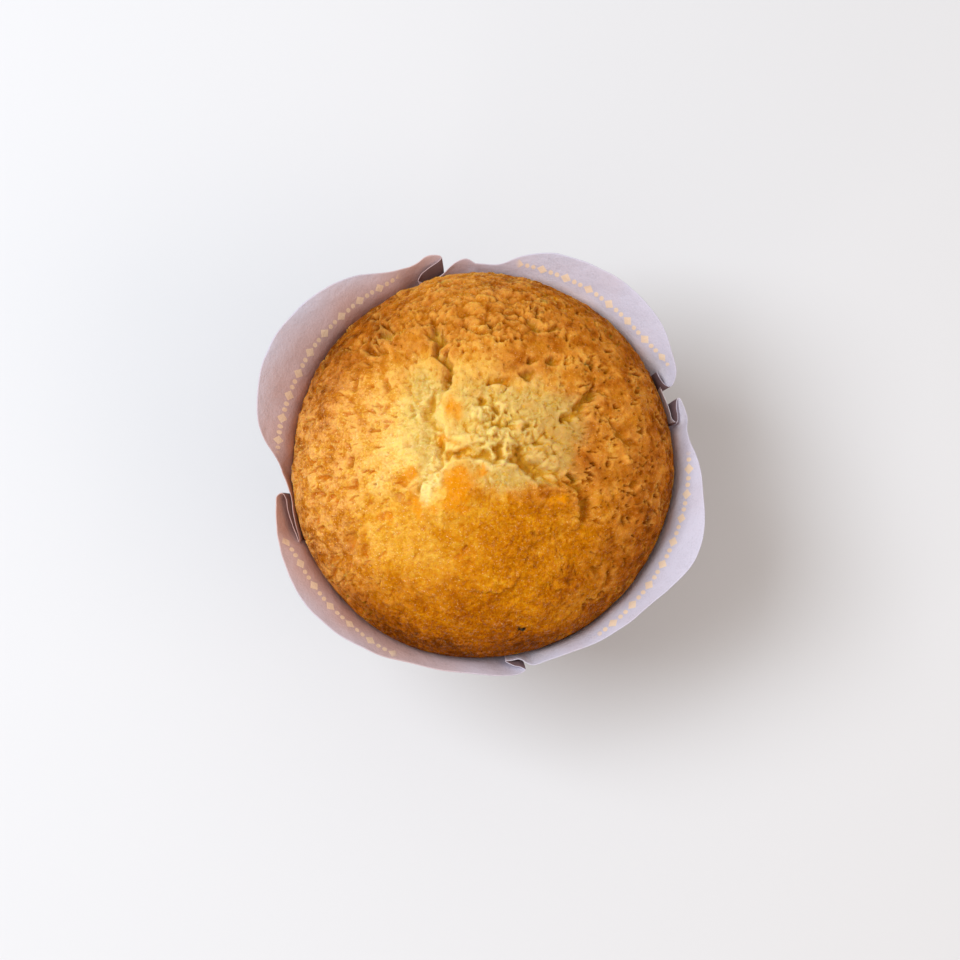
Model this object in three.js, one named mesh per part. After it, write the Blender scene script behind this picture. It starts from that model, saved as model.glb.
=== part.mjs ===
// A domed muffin baked in a tulip case of folded paper.
//
// Millimetres, +Z up. The origin is the centre of the case's flat base, which rests on z = 0.
// Seen from above with +X to the right, +Y is the far side. Angles run anticlockwise from +X, in degrees.
// Two solids: the cake, one piece from its flat foot to its torn crown, and the paper case,
// one sheet pressed into a cone with four petals and a double fold between each two.

import * as THREE from "three";

// Driving dimensions

const CASE_BASE_RADIUS = 25; // the pressed foot of the case
const CASE_RIM_RADIUS = 42.2; // the paper cone where the cake is widest
const CAKE_RADIUS = 41; // the dome at its widest
const CAKE_WIDEST_HEIGHT = 51;
const CAKE_HEIGHT = 76;
const PAPER = 0.4; // sheet thickness, heavier than real paper so that the solid is sound
const GAP = 0.3; // clearance between cake and paper, and between folded layers
const NOTCH_HEIGHT = 50; // the paper's edge in the folds between petals
const FLARE_HEIGHT = 50; // where the swollen dome pushes the petals out from the cone
const FLARE = 0.04; // how fast they lean out: millimetres for each squared millimetre of height

// The paper's edge along each petal, from one folded end to the other: angle round the case, height.
const PETALS = [
  [[23, 52.1], [28, 55.8], [38, 58.8], [50, 59.4], [62, 58.8], [74, 57.6], [79, 56.2], [88, 53], [98, 51.9]],
  [[102, 53.3], [106, 54.3], [112, 55.1], [125, 59], [143, 61], [159, 60.7], [172, 57.8], [186, 50.9]],
  [[191, 51.3], [198, 55.2], [206, 57.1], [227, 58.3], [240, 56.8], [250, 55.3], [265, 55.2], [280, 54.2]],
  [[283, 53], [290, 54.2], [304, 55.9], [321, 57.8], [338, 59.8], [354, 57.6], [364, 53.2], [376, 51.8]],
];

// The fold after each petal: how deep the sheet doubles back beside that petal's end and beside the
// next petal's start, and how far each doubled end stands open at the paper's edge.
const FOLDS = [
  { depthBefore: 3, depthAfter: 7, openBefore: 0.2, openAfter: 0.6 },
  { depthBefore: 2.5, depthAfter: 9, openBefore: 0.1, openAfter: 0.6 },
  { depthBefore: 5, depthAfter: 4.5, openBefore: 0.5, openAfter: 0.3 },
  { depthBefore: 4.7, depthAfter: 3.4, openBefore: 0.6, openAfter: 0.5 },
];

// The crown's tears, as routes in the plan view: the points, half width, depth, and the height of
// the crust lip that stands along the route's right-hand side.
const TEARS = [
  {
    route: [[-9.1, 23.5], [-7.9, 20.4], [-6.5, 15.9], [-7.9, 11.8], [-10.5, 8.2], [-10.6, 5], [-7.5, -2]],
    width: 1.7,
    depth: 2.4,
    lip: 0,
  },
  {
    route: [[-8.6, -4], [-5.5, -0.6], [1.5, -0.4], [6.7, -2.4], [14.1, -5.1], [19.2, -5.7], [22, -13.3]],
    width: 1.8,
    depth: 2.6,
    lip: 1.3,
  },
  { route: [[-0.8, 9.8], [1.6, 10.2], [3.2, 7.8], [6.1, 3.1], [7.7, -1]], width: 1.5, depth: 1.8, lip: 0 },
  { route: [[16.6, 7.6], [18.6, 8.6], [20.8, 10.6], [22.4, 12.4]], width: 1.5, depth: 2, lip: 0.4 },
  { route: [[25, 7.8], [27.9, 4.5], [29.3, 1]], width: 1.2, depth: 1.3, lip: 0.3 },
];

// Larger pits in the crust, in the plan view: x, y, radius, depth.
const PITS = [
  [9.1, 15.5, 1.7, 1.4],
  [13.7, 18.6, 1.8, 1.4],
  [3, 14.3, 1.9, 1.1],
  [-18.9, 23.8, 1.7, 1.5],
  [19.4, -5.7, 1.9, 1.6],
  [3.6, 0.2, 1.5, 1.6],
];

// The torn, crumbly middle of the crown: centre, half lengths and relief of its lumps.
const TORN = { x: 2.5, y: 4, halfX: 22, halfY: 17, lumps: 0.7, lumpLength: 6 };

// How fine the facets are
const DOME_FACET = 1.8;
const SIDE_FACET = 3.8;
const PETAL_STEPS = 18;
const BRIDGE_STEPS = 3;
const PAPER_ROWS = [0.05, 0.12, 0.24, 0.4, 0.56, 0.7, 0.79, 0.85, 0.9, 0.95, 1];

const radians = THREE.MathUtils.degToRad;
const lerp = THREE.MathUtils.lerp;
const smoothstep = THREE.MathUtils.smoothstep;

// Rings and skins

// Triangles between two closed rings of point numbers, walking both by their share of a turn.
function joinRings(low, high, triangles) {
  let i = 0;
  let j = 0;
  const push = (a, b, c) => {
    if (a !== b && b !== c && c !== a) triangles.push(a, b, c);
  };
  while (i < low.length || j < high.length) {
    const a = low[i % low.length];
    const b = high[j % high.length];
    const walkLow = j >= high.length || (i < low.length && (i + 1) / low.length <= (j + 1) / high.length);
    if (walkLow) {
      push(a, low[(i + 1) % low.length], b);
      i += 1;
    } else {
      push(a, high[(j + 1) % high.length], b);
      j += 1;
    }
  }
}

// A closed skin through a list of rings, each a list of points, that starts and ends at single points.
function skinThrough(rings) {
  const points = [];
  const numbers = rings.map((ring) => ring.map((point) => points.push(point) - 1));
  const triangles = [];
  for (let k = 0; k + 1 < numbers.length; k += 1) joinRings(numbers[k], numbers[k + 1], triangles);
  const geometry = new THREE.BufferGeometry().setFromPoints(points);
  geometry.setIndex(triangles);
  geometry.computeVertexNormals();
  return geometry;
}

// The cake

const CONE_FOOT_HEIGHT = 1; // where the pressed foot's corner ends and the cone begins
const CONE_SLOPE = (CASE_RIM_RADIUS - CASE_BASE_RADIUS) / (CAKE_WIDEST_HEIGHT - CONE_FOOT_HEIGHT);
const caseRadius = (z) => {
  const cone = CASE_BASE_RADIUS + CONE_SLOPE * (z - CONE_FOOT_HEIGHT);
  return cone + FLARE * Math.max(0, z - FLARE_HEIGHT) ** 2;
};

const CAKE_FOOT_HEIGHT = PAPER + GAP;
const CAKE_INSET = PAPER / 2 + GAP + 0.15; // from the paper's middle to the cake, with room for the facets
const CAKE_FOOT_CORNER = 2; // the rounding of the cake's lower edge
const CAKE_SIDE_TOP = 46.5; // where the side leaves the paper and turns into the dome
const DOME_FULLNESS = 2.15; // the exponent of the dome's rounded profile: 2 is an ellipse

// The dome's section at an angle from the crown (0) to its widest ring (90): radius and height.
function domeProfile(angle) {
  const power = 2 / DOME_FULLNESS;
  return {
    radius: CAKE_RADIUS * Math.sin(angle) ** power,
    height: CAKE_WIDEST_HEIGHT + (CAKE_HEIGHT - CAKE_WIDEST_HEIGHT) * Math.max(0, Math.cos(angle)) ** power,
  };
}

// The cake is never quite round: its radius at an angle, as a share of the true circle.
const roundness = (turn) =>
  1 + 0.008 * Math.cos(2 * turn - 2.6) + 0.005 * Math.cos(3 * turn + 0.4) + 0.003 * Math.cos(7 * turn + 1);

// Signed distance from a point to a route of straight runs: positive on the route's right-hand side.
function distanceToRoute(x, y, route) {
  let best = Infinity;
  let side = 1;
  for (let k = 0; k + 1 < route.length; k += 1) {
    const [ax, ay] = route[k];
    const [bx, by] = route[k + 1];
    const along = THREE.MathUtils.clamp(
      ((x - ax) * (bx - ax) + (y - ay) * (by - ay)) / ((bx - ax) ** 2 + (by - ay) ** 2), 0, 1);
    const away = Math.hypot(x - lerp(ax, bx, along), y - lerp(ay, by, along));
    if (away < best) {
      best = away;
      side = (bx - ax) * (y - ay) - (by - ay) * (x - ax) > 0 ? -1 : 1;
    }
  }
  return best * side;
}

// Relief of the crown along its outward normal: tears with their lips, pits, lumps and slow swells.
function crownRelief(x, y) {
  let relief = 0;
  for (const { route, width, depth, lip } of TEARS) {
    const away = distanceToRoute(x, y, route);
    relief -= depth * Math.exp(-((away / width) ** 2));
    if (away > 0) relief += lip * Math.exp(-(((away - 2.4 * width) / (1.6 * width)) ** 2));
  }
  for (const [px, py, radius, depth] of PITS) {
    relief -= depth * Math.exp(-((x - px) ** 2 + (y - py) ** 2) / radius ** 2);
  }
  const torn = Math.exp(-(((x - TORN.x) / TORN.halfX) ** 4) - ((y - TORN.y) / TORN.halfY) ** 4);
  const wave = (2 * Math.PI) / TORN.lumpLength;
  relief += torn * TORN.lumps * Math.sin(wave * (x + 0.4 * y)) * Math.sin(wave * (y - 0.3 * x) + 1);
  relief += 0.3 * Math.sin(0.31 * x + 0.9) * Math.cos(0.27 * y - 0.4);
  relief += 0.22 * Math.sin(0.55 * x - 0.2 * y + 1.3) * Math.sin(0.61 * y + 0.17 * x);
  return relief;
}

// One ring of the cake, with as many points as its length needs.
function cakeRing(radius, height, facet, relief) {
  const count = Math.max(1, Math.round((2 * Math.PI * radius) / facet));
  return Array.from({ length: count }, (_, k) => {
    const turn = (2 * Math.PI * k) / count;
    const point = new THREE.Vector3(radius * Math.cos(turn), radius * Math.sin(turn), height);
    return relief ? relief(point, turn) : point;
  });
}

function makeCake() {
  const rings = [];
  // the flat foot, out to its rounded corner
  const footRadius = caseRadius(CONE_FOOT_HEIGHT) - CAKE_INSET;
  for (const share of [0, 0.35, 0.7]) rings.push(cakeRing(share * footRadius, CAKE_FOOT_HEIGHT, 7, null));
  rings.push(cakeRing(footRadius - CAKE_FOOT_CORNER, CAKE_FOOT_HEIGHT, SIDE_FACET, null));
  // the side, which follows the paper
  const sideRows = 7;
  for (let row = 0; row <= sideRows; row += 1) {
    const z = lerp(CAKE_FOOT_HEIGHT + CAKE_FOOT_CORNER, CAKE_SIDE_TOP, row / sideRows);
    const facet = lerp(SIDE_FACET, DOME_FACET, (row / sideRows) ** 3);
    rings.push(cakeRing(caseRadius(z) - CAKE_INSET, z, facet, null));
  }
  // the dome, from its widest ring up to the crown
  const quarterTurn = Math.PI / 2;
  const arc = quarterTurn * 0.5 * (CAKE_RADIUS + CAKE_HEIGHT - CAKE_WIDEST_HEIGHT);
  const domeRows = Math.round(arc / DOME_FACET);
  for (let row = 0; row <= domeRows; row += 1) {
    const angle = quarterTurn * (1 - row / domeRows);
    const { radius, height } = domeProfile(angle);
    const normal = new THREE.Vector2(Math.sin(angle), Math.cos(angle));
    const fade = smoothstep(height, CAKE_WIDEST_HEIGHT + 1, CAKE_WIDEST_HEIGHT + 9);
    rings.push(cakeRing(radius, height, DOME_FACET, (point, turn) => {
      const rise = fade * crownRelief(point.x, point.y);
      const round = lerp(1, roundness(turn), Math.min(1, radius / 10));
      const reach = round + (rise * normal.x) / Math.max(radius, 1);
      return point.set(point.x * reach, point.y * reach, point.z + rise * normal.y);
    }));
  }
  return skinThrough(rings);
}

// The paper case

const LAYER = PAPER + GAP + 0.05; // from one folded layer's middle to the next

// Where the sheet runs at its edge: a list of columns round the case, each with its angle, its folded
// layer (0 lies on the cake, 2 is a petal's own face), its opened stand-off and its edge height.
// `flat` is the column's angle at the foot, where the folds have run out.
function sheetColumns() {
  const columns = [];
  const spread = 9; // half the angle that a fold's columns share at the foot
  const degreesAt = (length) => THREE.MathUtils.radToDeg(length / CASE_RIM_RADIUS);
  const curves = PETALS.map((edge) => {
    return new THREE.SplineCurve(edge.map(([angle, z]) => new THREE.Vector2(angle, z)));
  });
  const count = PETALS.length;
  curves.forEach((curve, k) => {
    const start = curve.points[0];
    const end = curve.points.at(-1);
    const next = curves[(k + 1) % count].points[0].clone();
    next.x += k + 1 === count ? 360 : 0;
    const beforeEnd = curves[(k + count - 1) % count].points.at(-1).x - (k === 0 ? 360 : 0);
    const flatFrom = (beforeEnd + start.x) / 2 + spread;
    const flatTo = (end.x + next.x) / 2 - spread;
    const opening = FOLDS[(k + count - 1) % count];
    const fold = FOLDS[k];
    // the petal's own face
    for (let i = 1; i < PETAL_STEPS; i += 1) {
      const share = i / PETAL_STEPS;
      const edge = curve.getPointAt(share);
      const atStart = Math.exp(-((share / 0.12) ** 2));
      const atEnd = Math.exp(-(((1 - share) / 0.12) ** 2));
      columns.push({
        angle: edge.x,
        flat: lerp(flatFrom, flatTo, share),
        layer: 2 * Math.min(1, atStart + atEnd),
        open: opening.openAfter * atStart + fold.openBefore * atEnd,
        edge: edge.y,
      });
    }
    // the double fold: back beside this petal, across on the cake, back beside the next petal
    const innerBefore = end.x - degreesAt(fold.depthBefore);
    const innerAfter = next.x + degreesAt(fold.depthAfter);
    const bridge = Array.from({ length: BRIDGE_STEPS + 1 }, (_, i) => ({
      angle: lerp(innerBefore, innerAfter, i / BRIDGE_STEPS), layer: 0, open: 0, edge: NOTCH_HEIGHT }));
    const corners = [
      { angle: end.x, layer: 2, open: fold.openBefore, edge: end.y },
      { angle: end.x, layer: 1, open: 0, edge: end.y - 0.5 },
      { angle: innerBefore, layer: 1, open: 0, edge: NOTCH_HEIGHT + 0.6 },
      ...bridge,
      { angle: innerAfter, layer: 1, open: 0, edge: NOTCH_HEIGHT + 0.6 },
      { angle: next.x, layer: 1, open: 0, edge: next.y - 0.5 },
      { angle: next.x, layer: 2, open: fold.openAfter, edge: next.y },
    ];
    corners.forEach((corner, i) => {
      columns.push({ ...corner, flat: lerp(flatTo, flatTo + 2 * spread, i / (corners.length - 1)) });
    });
  });
  return columns;
}

// A point of the sheet's middle at a share of the way from the foot's corner up to the edge.
function sheetPoint(column, share) {
  const z = lerp(CONE_FOOT_HEIGHT, column.edge, share);
  const folded = THREE.MathUtils.clamp((z - CONE_FOOT_HEIGHT) / (NOTCH_HEIGHT - CONE_FOOT_HEIGHT), 0, 1);
  const stacked = column.layer * LAYER * smoothstep(folded, 0, 0.28);
  const opened = column.open * smoothstep(z, NOTCH_HEIGHT - 16, NOTCH_HEIGHT + 3);
  const turn = radians(lerp(column.flat, column.angle, folded));
  const radius = caseRadius(z) + stacked + opened;
  return new THREE.Vector3(radius * Math.cos(turn), radius * Math.sin(turn), z);
}

// The outward normals of a grid of points, row by row, each row a closed ring.
function gridNormals(rows) {
  return rows.map((row, r) => row.map((point, c) => {
    const around = row[(c + 1) % row.length].clone().sub(row[(c + row.length - 1) % row.length]);
    const above = rows[Math.min(r + 1, rows.length - 1)][c];
    const below = rows[Math.max(r - 1, 0)][c];
    return around.cross(above.clone().sub(below)).normalize();
  }));
}

function makeCase() {
  const columns = sheetColumns();
  const middle = PAPER / 2;
  const footRing = columns.map(({ flat }) => {
    const radius = CASE_BASE_RADIUS - 0.8;
    return new THREE.Vector3(radius * Math.cos(radians(flat)), radius * Math.sin(radians(flat)), middle);
  });
  const wall = [0, ...PAPER_ROWS].map((share) => columns.map((column) => sheetPoint(column, share)));
  const normals = gridNormals(wall);
  // one face of the sheet, from the foot's centre to the edge
  const face = (side) => {
    const down = -side * middle;
    const foot = footRing.map((point) => point.clone().add(new THREE.Vector3(0, 0, down)));
    const innerFoot = columns.filter((_, c) => c % 4 === 0).map(({ flat }) =>
      new THREE.Vector3(12 * Math.cos(radians(flat)), 12 * Math.sin(radians(flat)), middle + down));
    const rows = wall.map((row, r) => {
      return row.map((point, c) => point.clone().addScaledVector(normals[r][c], side * middle));
    });
    return [[new THREE.Vector3(0, 0, middle + down)], innerFoot, foot, ...rows];
  };
  return skinThrough([...face(1), ...face(-1).reverse()]);
}

// The scene graph

const crust = new THREE.MeshStandardMaterial({ color: 0xd0882c, roughness: 0.6, metalness: 0 });
const printedPaper = new THREE.MeshStandardMaterial({ color: 0xb9a3a8, roughness: 0.75, metalness: 0 });

const cake = new THREE.Mesh(makeCake(), crust);
cake.name = "cake";

const paperCase = new THREE.Mesh(makeCase(), printedPaper);
paperCase.name = "paper_case";

const muffin = new THREE.Group();
muffin.name = "muffin";
muffin.add(cake, paperCase);

export default muffin;
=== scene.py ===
# %% [markdown]
# # A muffin in a tulip case of baking paper
#
# The frame holds two plain solids: the cake and its paper case. This lesson dresses both. The cake
# gets its crust, its torn crown and its open crumb as real relief, and the paper gets its folds at
# close to its real thickness. Everything is worked out in millimetres and put into the mesh in metres.

# %% Load the frame
import math

import bpy
import numpy as np
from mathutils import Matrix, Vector


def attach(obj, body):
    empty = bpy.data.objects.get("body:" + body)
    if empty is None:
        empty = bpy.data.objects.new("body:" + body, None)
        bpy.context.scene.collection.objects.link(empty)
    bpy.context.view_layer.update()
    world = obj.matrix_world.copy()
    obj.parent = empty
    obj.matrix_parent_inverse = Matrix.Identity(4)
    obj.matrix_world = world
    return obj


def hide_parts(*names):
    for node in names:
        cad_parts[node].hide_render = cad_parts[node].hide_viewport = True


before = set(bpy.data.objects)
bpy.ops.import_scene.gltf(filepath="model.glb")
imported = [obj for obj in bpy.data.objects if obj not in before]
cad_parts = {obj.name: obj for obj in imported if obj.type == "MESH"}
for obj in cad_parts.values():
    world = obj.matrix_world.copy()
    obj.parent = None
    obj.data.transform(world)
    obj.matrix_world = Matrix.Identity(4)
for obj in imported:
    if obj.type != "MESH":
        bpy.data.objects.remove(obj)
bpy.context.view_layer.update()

MM = 0.001

# %% [markdown]
# ## Tools for uneven food
#
# Baked batter is never smooth: it has swells, lumps, pits and grain, each at its own size. Two
# patterns give all of these. The first is a smooth random bumpiness, the second a packing of random
# lumps. Both could be texture nodes, but then the relief would be lost outside the render, so they
# are worked out here with numpy and move the mesh itself.

# %% Bumps and lumps from repeatable random numbers
def smoothstep(low, high, value):
    """0 below low, 1 above high, and the S-shaped curve 3t^2 - 2t^3 between."""
    t = np.clip((value - low) / (high - low), 0, 1)
    return t * t * (3 - 2 * t)


def lattice_random(place, seed):
    """A repeatable number from 0 to 1 for each whole-number place: its three counts are multiplied by
    large odd numbers and added, and the bits of the sum are folded over themselves."""
    count = place.astype(np.int64).astype(np.uint32)
    mixed = count[..., 0] * np.uint32(374761393) + count[..., 1] * np.uint32(668265263)
    mixed = mixed + count[..., 2] * np.uint32(3266489917) + np.uint32(seed * 40503 + 7)
    mixed = (mixed ^ (mixed >> np.uint32(13))) * np.uint32(1274126177)
    mixed = (mixed ^ (mixed >> np.uint32(16))) * np.uint32(2246822519)
    return (mixed ^ (mixed >> np.uint32(15))) / 4294967296.0


def bumps(points, size, seed):
    """Smooth bumps about `size` apart, from -1 to 1: every corner of a lattice has a random slope, and
    the eight slopes round a point are blended by how near each corner is."""
    scaled = points / size
    base = np.floor(scaled)
    part = scaled - base
    fade = part**3 * (part * (part * 6 - 15) + 10)
    total = np.zeros(len(points))
    for corner in np.ndindex(2, 2, 2):
        place = base + np.array(corner)
        slope = np.stack([lattice_random(place, seed + k) for k in range(3)], -1) * 2 - 1
        weight = np.prod(np.where(np.array(corner) == 1, fade, 1 - fade), -1)
        total += weight * np.sum(slope * (scaled - place), -1)
    return total * 1.5


def lumps(points, size, seed):
    """Packed lumps about `size` apart: the distances to the nearest and second nearest of randomly
    placed lump centres, as shares of `size`."""
    scaled = points / size
    base = np.floor(scaled)
    nearest = np.full(len(points), 9.0)
    second = nearest.copy()
    for step in np.ndindex(3, 3, 3):
        place = base + np.array(step) - 1
        centre = place + np.stack([lattice_random(place, seed + k) for k in range(3)], -1)
        away = np.linalg.norm(scaled - centre, axis=-1)
        closer = away < nearest
        second = np.where(closer, nearest, np.minimum(second, away))
        nearest = np.where(closer, away, nearest)
    return nearest, second


print("three of the repeatable random numbers:", lattice_random(np.eye(3), 1).round(2))

# %% [markdown]
# ## The cake's plain form
#
# Under the paper the muffin is a cone with a flat foot, and above the paper a full dome. The dome is
# a square grid bent into a disc and lifted: unlike rings that all have the same number of points, it
# has cells of one size from the crown to the rim, so the relief is as fine everywhere.

# %% Sizes of the cake
CASE_BASE_RADIUS = 25.0
CASE_RIM_RADIUS = 42.2
CAKE_RADIUS = 41.0
CAKE_WIDEST_HEIGHT = 51.0
CAKE_HEIGHT = 76.0
DOME_FULLNESS = 2.15
CONE_FOOT_HEIGHT = 1.0
CONE_SLOPE = (CASE_RIM_RADIUS - CASE_BASE_RADIUS) / (CAKE_WIDEST_HEIGHT - CONE_FOOT_HEIGHT)
FLARE_HEIGHT = 50.0
FLARE = 0.04
CAKE_INSET = 0.75
CLOSE_FIT = 0.7
FIT_STARTS = 22.0
FIT_FULL = 47.0
PETALS_LOOSEN = 1.0
PETALS_FREE = 6.0
DOME_CELLS = 150
EVEN_RINGS = 0.72
print("the paper cone widens by", round(CONE_SLOPE, 3), "mm for each mm up")

# %% Radius of the paper and the cake
def case_radius(z):
    """The paper's radius at a height: the foot's radius plus the slope times the height, and above the
    flare's height a part that grows with the square of the height."""
    straight = CASE_BASE_RADIUS + CONE_SLOPE * (z - CONE_FOOT_HEIGHT)
    return straight + FLARE * np.maximum(0, z - FLARE_HEIGHT) ** 2


def roundness(turn):
    """How far the cake is from round: one plus three small waves round its edge."""
    return (1 + 0.008 * np.cos(2 * turn - 2.6) + 0.005 * np.cos(3 * turn + 0.4)
            + 0.003 * np.cos(7 * turn + 1))


def paper_lean(turn, z):
    """How far the paper is pressed in or out to follow the cake: its uneven edge less a close fit, which
    starts a third of the way up, is full at the widest ring, and ends where the petals come free."""
    fit = CAKE_RADIUS * (roundness(turn) - 1) - CLOSE_FIT
    pressed = smoothstep(FIT_STARTS, FIT_FULL, z)
    return fit * pressed * smoothstep(CAKE_WIDEST_HEIGHT + PETALS_FREE, CAKE_WIDEST_HEIGHT + PETALS_LOOSEN, z)


print("radius of the paper at the widest ring:", round(float(case_radius(CAKE_WIDEST_HEIGHT)), 1), "mm")

# %% The smooth dome
def disc_grid(cells):
    """A square grid bent into a disc: a point's ring is the larger of its two counts, and its angle is
    its share of the way along that ring's square side. The rings lie closer near the middle. Returns
    the ring share and angle of each point."""
    line = np.linspace(-1, 1, 2 * cells + 1)
    a, b = np.meshgrid(line, line)
    ring = np.maximum(np.abs(a), np.abs(b))
    safe = np.where(ring == 0, 1, ring)
    wide = np.abs(a) >= np.abs(b)
    side = np.where(wide, b, a) / safe * math.pi / 4
    angle = np.where(wide, np.where(a >= 0, side, math.pi - side),
                     np.where(b >= 0, math.pi / 2 - side, side - math.pi / 2))
    return (EVEN_RINGS * ring + (1 - EVEN_RINGS) * ring**3).ravel(), angle.ravel()


def dome_points(ring, turn):
    """The smooth dome: radius and height follow a rounded quarter section, r = R sin(q)^p and
    z = z0 + H cos(q)^p with q from the crown to the widest ring. Returns points and normals."""
    q = ring * math.pi / 2
    power = 2 / DOME_FULLNESS
    radius = CAKE_RADIUS * np.sin(q) ** power
    rise = np.clip(np.cos(q), 0, 1) ** power
    reach = radius * (1 + (roundness(turn) - 1) * np.minimum(1, radius / 10))
    height = CAKE_WIDEST_HEIGHT + (CAKE_HEIGHT - CAKE_WIDEST_HEIGHT) * rise
    points = np.stack([reach * np.cos(turn), reach * np.sin(turn), height], -1)
    normals = np.stack([np.sin(q) * np.cos(turn), np.sin(q) * np.sin(turn), np.cos(q)], -1)
    return points, normals


dome_ring, dome_turn = disc_grid(DOME_CELLS)
dome, dome_normal = dome_points(dome_ring, dome_turn)
print("dome points:", len(dome))

# %% [markdown]
# ## The torn crown
#
# As a muffin rises, its set crust tears and the soft crumb pushes through. The tears are routes on
# the plan view. Each sinks a ragged valley, and along some of them the crust stands up as a lip. The
# routes are given, and random bumps shift them a little, so no edge is straight.

# %% Routes, pits and lumps of the crown
TEARS = [
    dict(route=[(-9.4, 26.7), (-8.6, 23.9), (-9.2, 21.2), (-7.1, 17.7), (-6.5, 15.5)], width=0.9, depth=2.1),
    dict(route=[(-6.5, 15.5), (-7.6, 13), (-9.3, 10.9), (-11.2, 8.1), (-10.9, 5.4), (-8.6, 1.3), (-8.3, -1)],
         width=1.0, depth=1.5),
    dict(route=[(-8.4, -0.3), (-5.4, -0.2), (-0.8, -0.4), (1.2, -0.6)], width=0.8, depth=1.3),
    dict(route=[(6.8, -0.1), (7.6, -1.8), (10.9, -3.7), (14.1, -4.7), (17.3, -6.2), (18.9, -5.6)], width=1.1,
         depth=2.0),
    dict(route=[(18.8, -5.2), (20.6, -7.9), (21.3, -10.3), (21.2, -12.3)], width=1.3, depth=1.0),
    dict(route=[(0.4, 10.6), (2.2, 9.2), (3.2, 7), (4.2, 5.3)], width=0.8, depth=1.5),
    dict(route=[(17.6, 7.2), (19.4, 8.2), (21, 10.5), (23.7, 13.3)], width=1.0, depth=1.6),
    dict(route=[(25.3, 8.3), (28.2, 5.1), (31.4, 2.2)], width=0.8, depth=0.9),
    dict(route=[(1.6, 14.9), (3.6, 15.2), (5.3, 14.9)], width=0.7, depth=1.4),
    dict(route=[(-21.3, 8), (-19.4, 9.6), (-17.6, 10.6)], width=0.6, depth=0.8),
    dict(route=[(9.5, 28), (12.5, 26.5), (15.5, 27.2)], width=0.6, depth=1.1),
    dict(route=[(-3, 26.5), (0.5, 25.2), (4, 25.8)], width=0.6, depth=1.1),
    dict(route=[(2, 29.8), (5, 29.2), (8, 30)], width=0.5, depth=0.9),
]
LOWER_FLAP = [
    (-15.6, -13.4), (-13, -11.2), (-11.2, -9.2), (-11.4, -7.2), (-8.4, -4.2), (-7.2, -1.8), (-2.4, -1),
    (1.6, -2.2), (4.6, -1.4), (8, -3.8), (12.2, -6.6), (15.4, -6.4), (18.2, -7.6), (19.8, -10),
    (20, -12.8), (18.6, -15.6),
]
UPPER_FLAP = [(-6, 16), (-7.6, 12.6), (-8.9, 9), (-8.3, 5.6), (-7.6, 2.8), (-4.6, 1.6), (-1, 1.4)]
RAGGED_FLAKE = [(-1.5, -27.6), (1, -27.2), (3.4, -27.9), (5.2, -26.9), (6.6, -25.8)]
# x, y, half lengths along x and y, depth of the larger pits
PITS = [
    (-19.6, 25.2, 1.7, 1.2, 1.7), (-21, 21.3, 1.6, 0.5, 0.9), (-26.3, 14.5, 0.6, 1.8, 1.0),
    (-19.6, 13.8, 0.8, 1.7, 1.0), (-22.8, 8.5, 1.6, 0.6, 0.8), (-9.9, 24.8, 1.5, 1.3, 1.9),
    (-11.6, 7.7, 0.9, 2.0, 1.6), (-19.2, 5.5, 0.6, 0.7, 0.9), (-14.1, 7.1, 0.5, 0.6, 0.8),
    (-15, 12.6, 0.5, 1.1, 0.8), (-27.1, -2.1, 0.8, 1.3, 1.1), (-26, -5.9, 0.8, 1.0, 0.9),
    (-33.3, -7.1, 0.7, 1.3, 0.9), (-34.4, -13, 0.7, 0.8, 0.8), (-30, -9.3, 0.6, 1.3, 0.8),
    (-26.6, -16.8, 1.0, 2.2, 1.0), (-28, -20.6, 0.8, 1.0, 0.8), (-23.6, -20, 0.8, 1.6, 0.8),
    (-20.2, -13.4, 1.6, 0.8, 0.6), (-16, -9.8, 1.8, 1.0, 0.7), (-16.2, -6.2, 1.4, 1.2, 0.9),
    (-3, -19.4, 0.9, 0.9, 0.8), (-5, -21.1, 0.7, 0.6, 0.6), (-2.1, -22.3, 0.8, 0.7, 0.6),
    (11, -16.3, 1.2, 0.45, 0.9), (23, -23.4, 0.9, 0.6, 0.7), (22.6, -29.5, 1.2, 0.5, 0.6),
    (26, -24.3, 0.5, 1.4, 0.6), (31.4, -5.6, 0.7, 1.0, 0.8), (29.1, -13.3, 0.7, 0.7, 0.8),
    (25.4, -2.3, 0.8, 0.8, 1.0), (21, 20.1, 0.6, 0.5, 0.9), (26, 21.9, 0.6, 0.6, 1.0),
    (25.4, 24.5, 0.6, 0.6, 0.8), (23.2, 18.5, 0.8, 1.0, 1.0), (10.4, 30.8, 0.7, 0.5, 0.9),
    (16.1, 31.6, 0.6, 0.5, 0.8), (17.5, 24.9, 0.5, 1.3, 0.8), (14.5, 19.2, 1.6, 1.0, 1.5),
    (10.2, 18.9, 1.1, 0.8, 1.2), (9.4, 16, 1.5, 1.0, 1.5), (18.2, 7.7, 1.6, 1.0, 1.7),
    (3.4, -0.3, 1.0, 1.5, 2.0), (18.8, -5.3, 1.4, 1.3, 2.3), (-6.6, -0.6, 1.7, 1.3, 1.2),
    (7.6, -1.7, 1.6, 1.3, 1.9), (11.6, -4, 1.6, 0.9, 1.7), (11.1, 1.6, 1.2, 0.6, 1.2),
]
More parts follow.
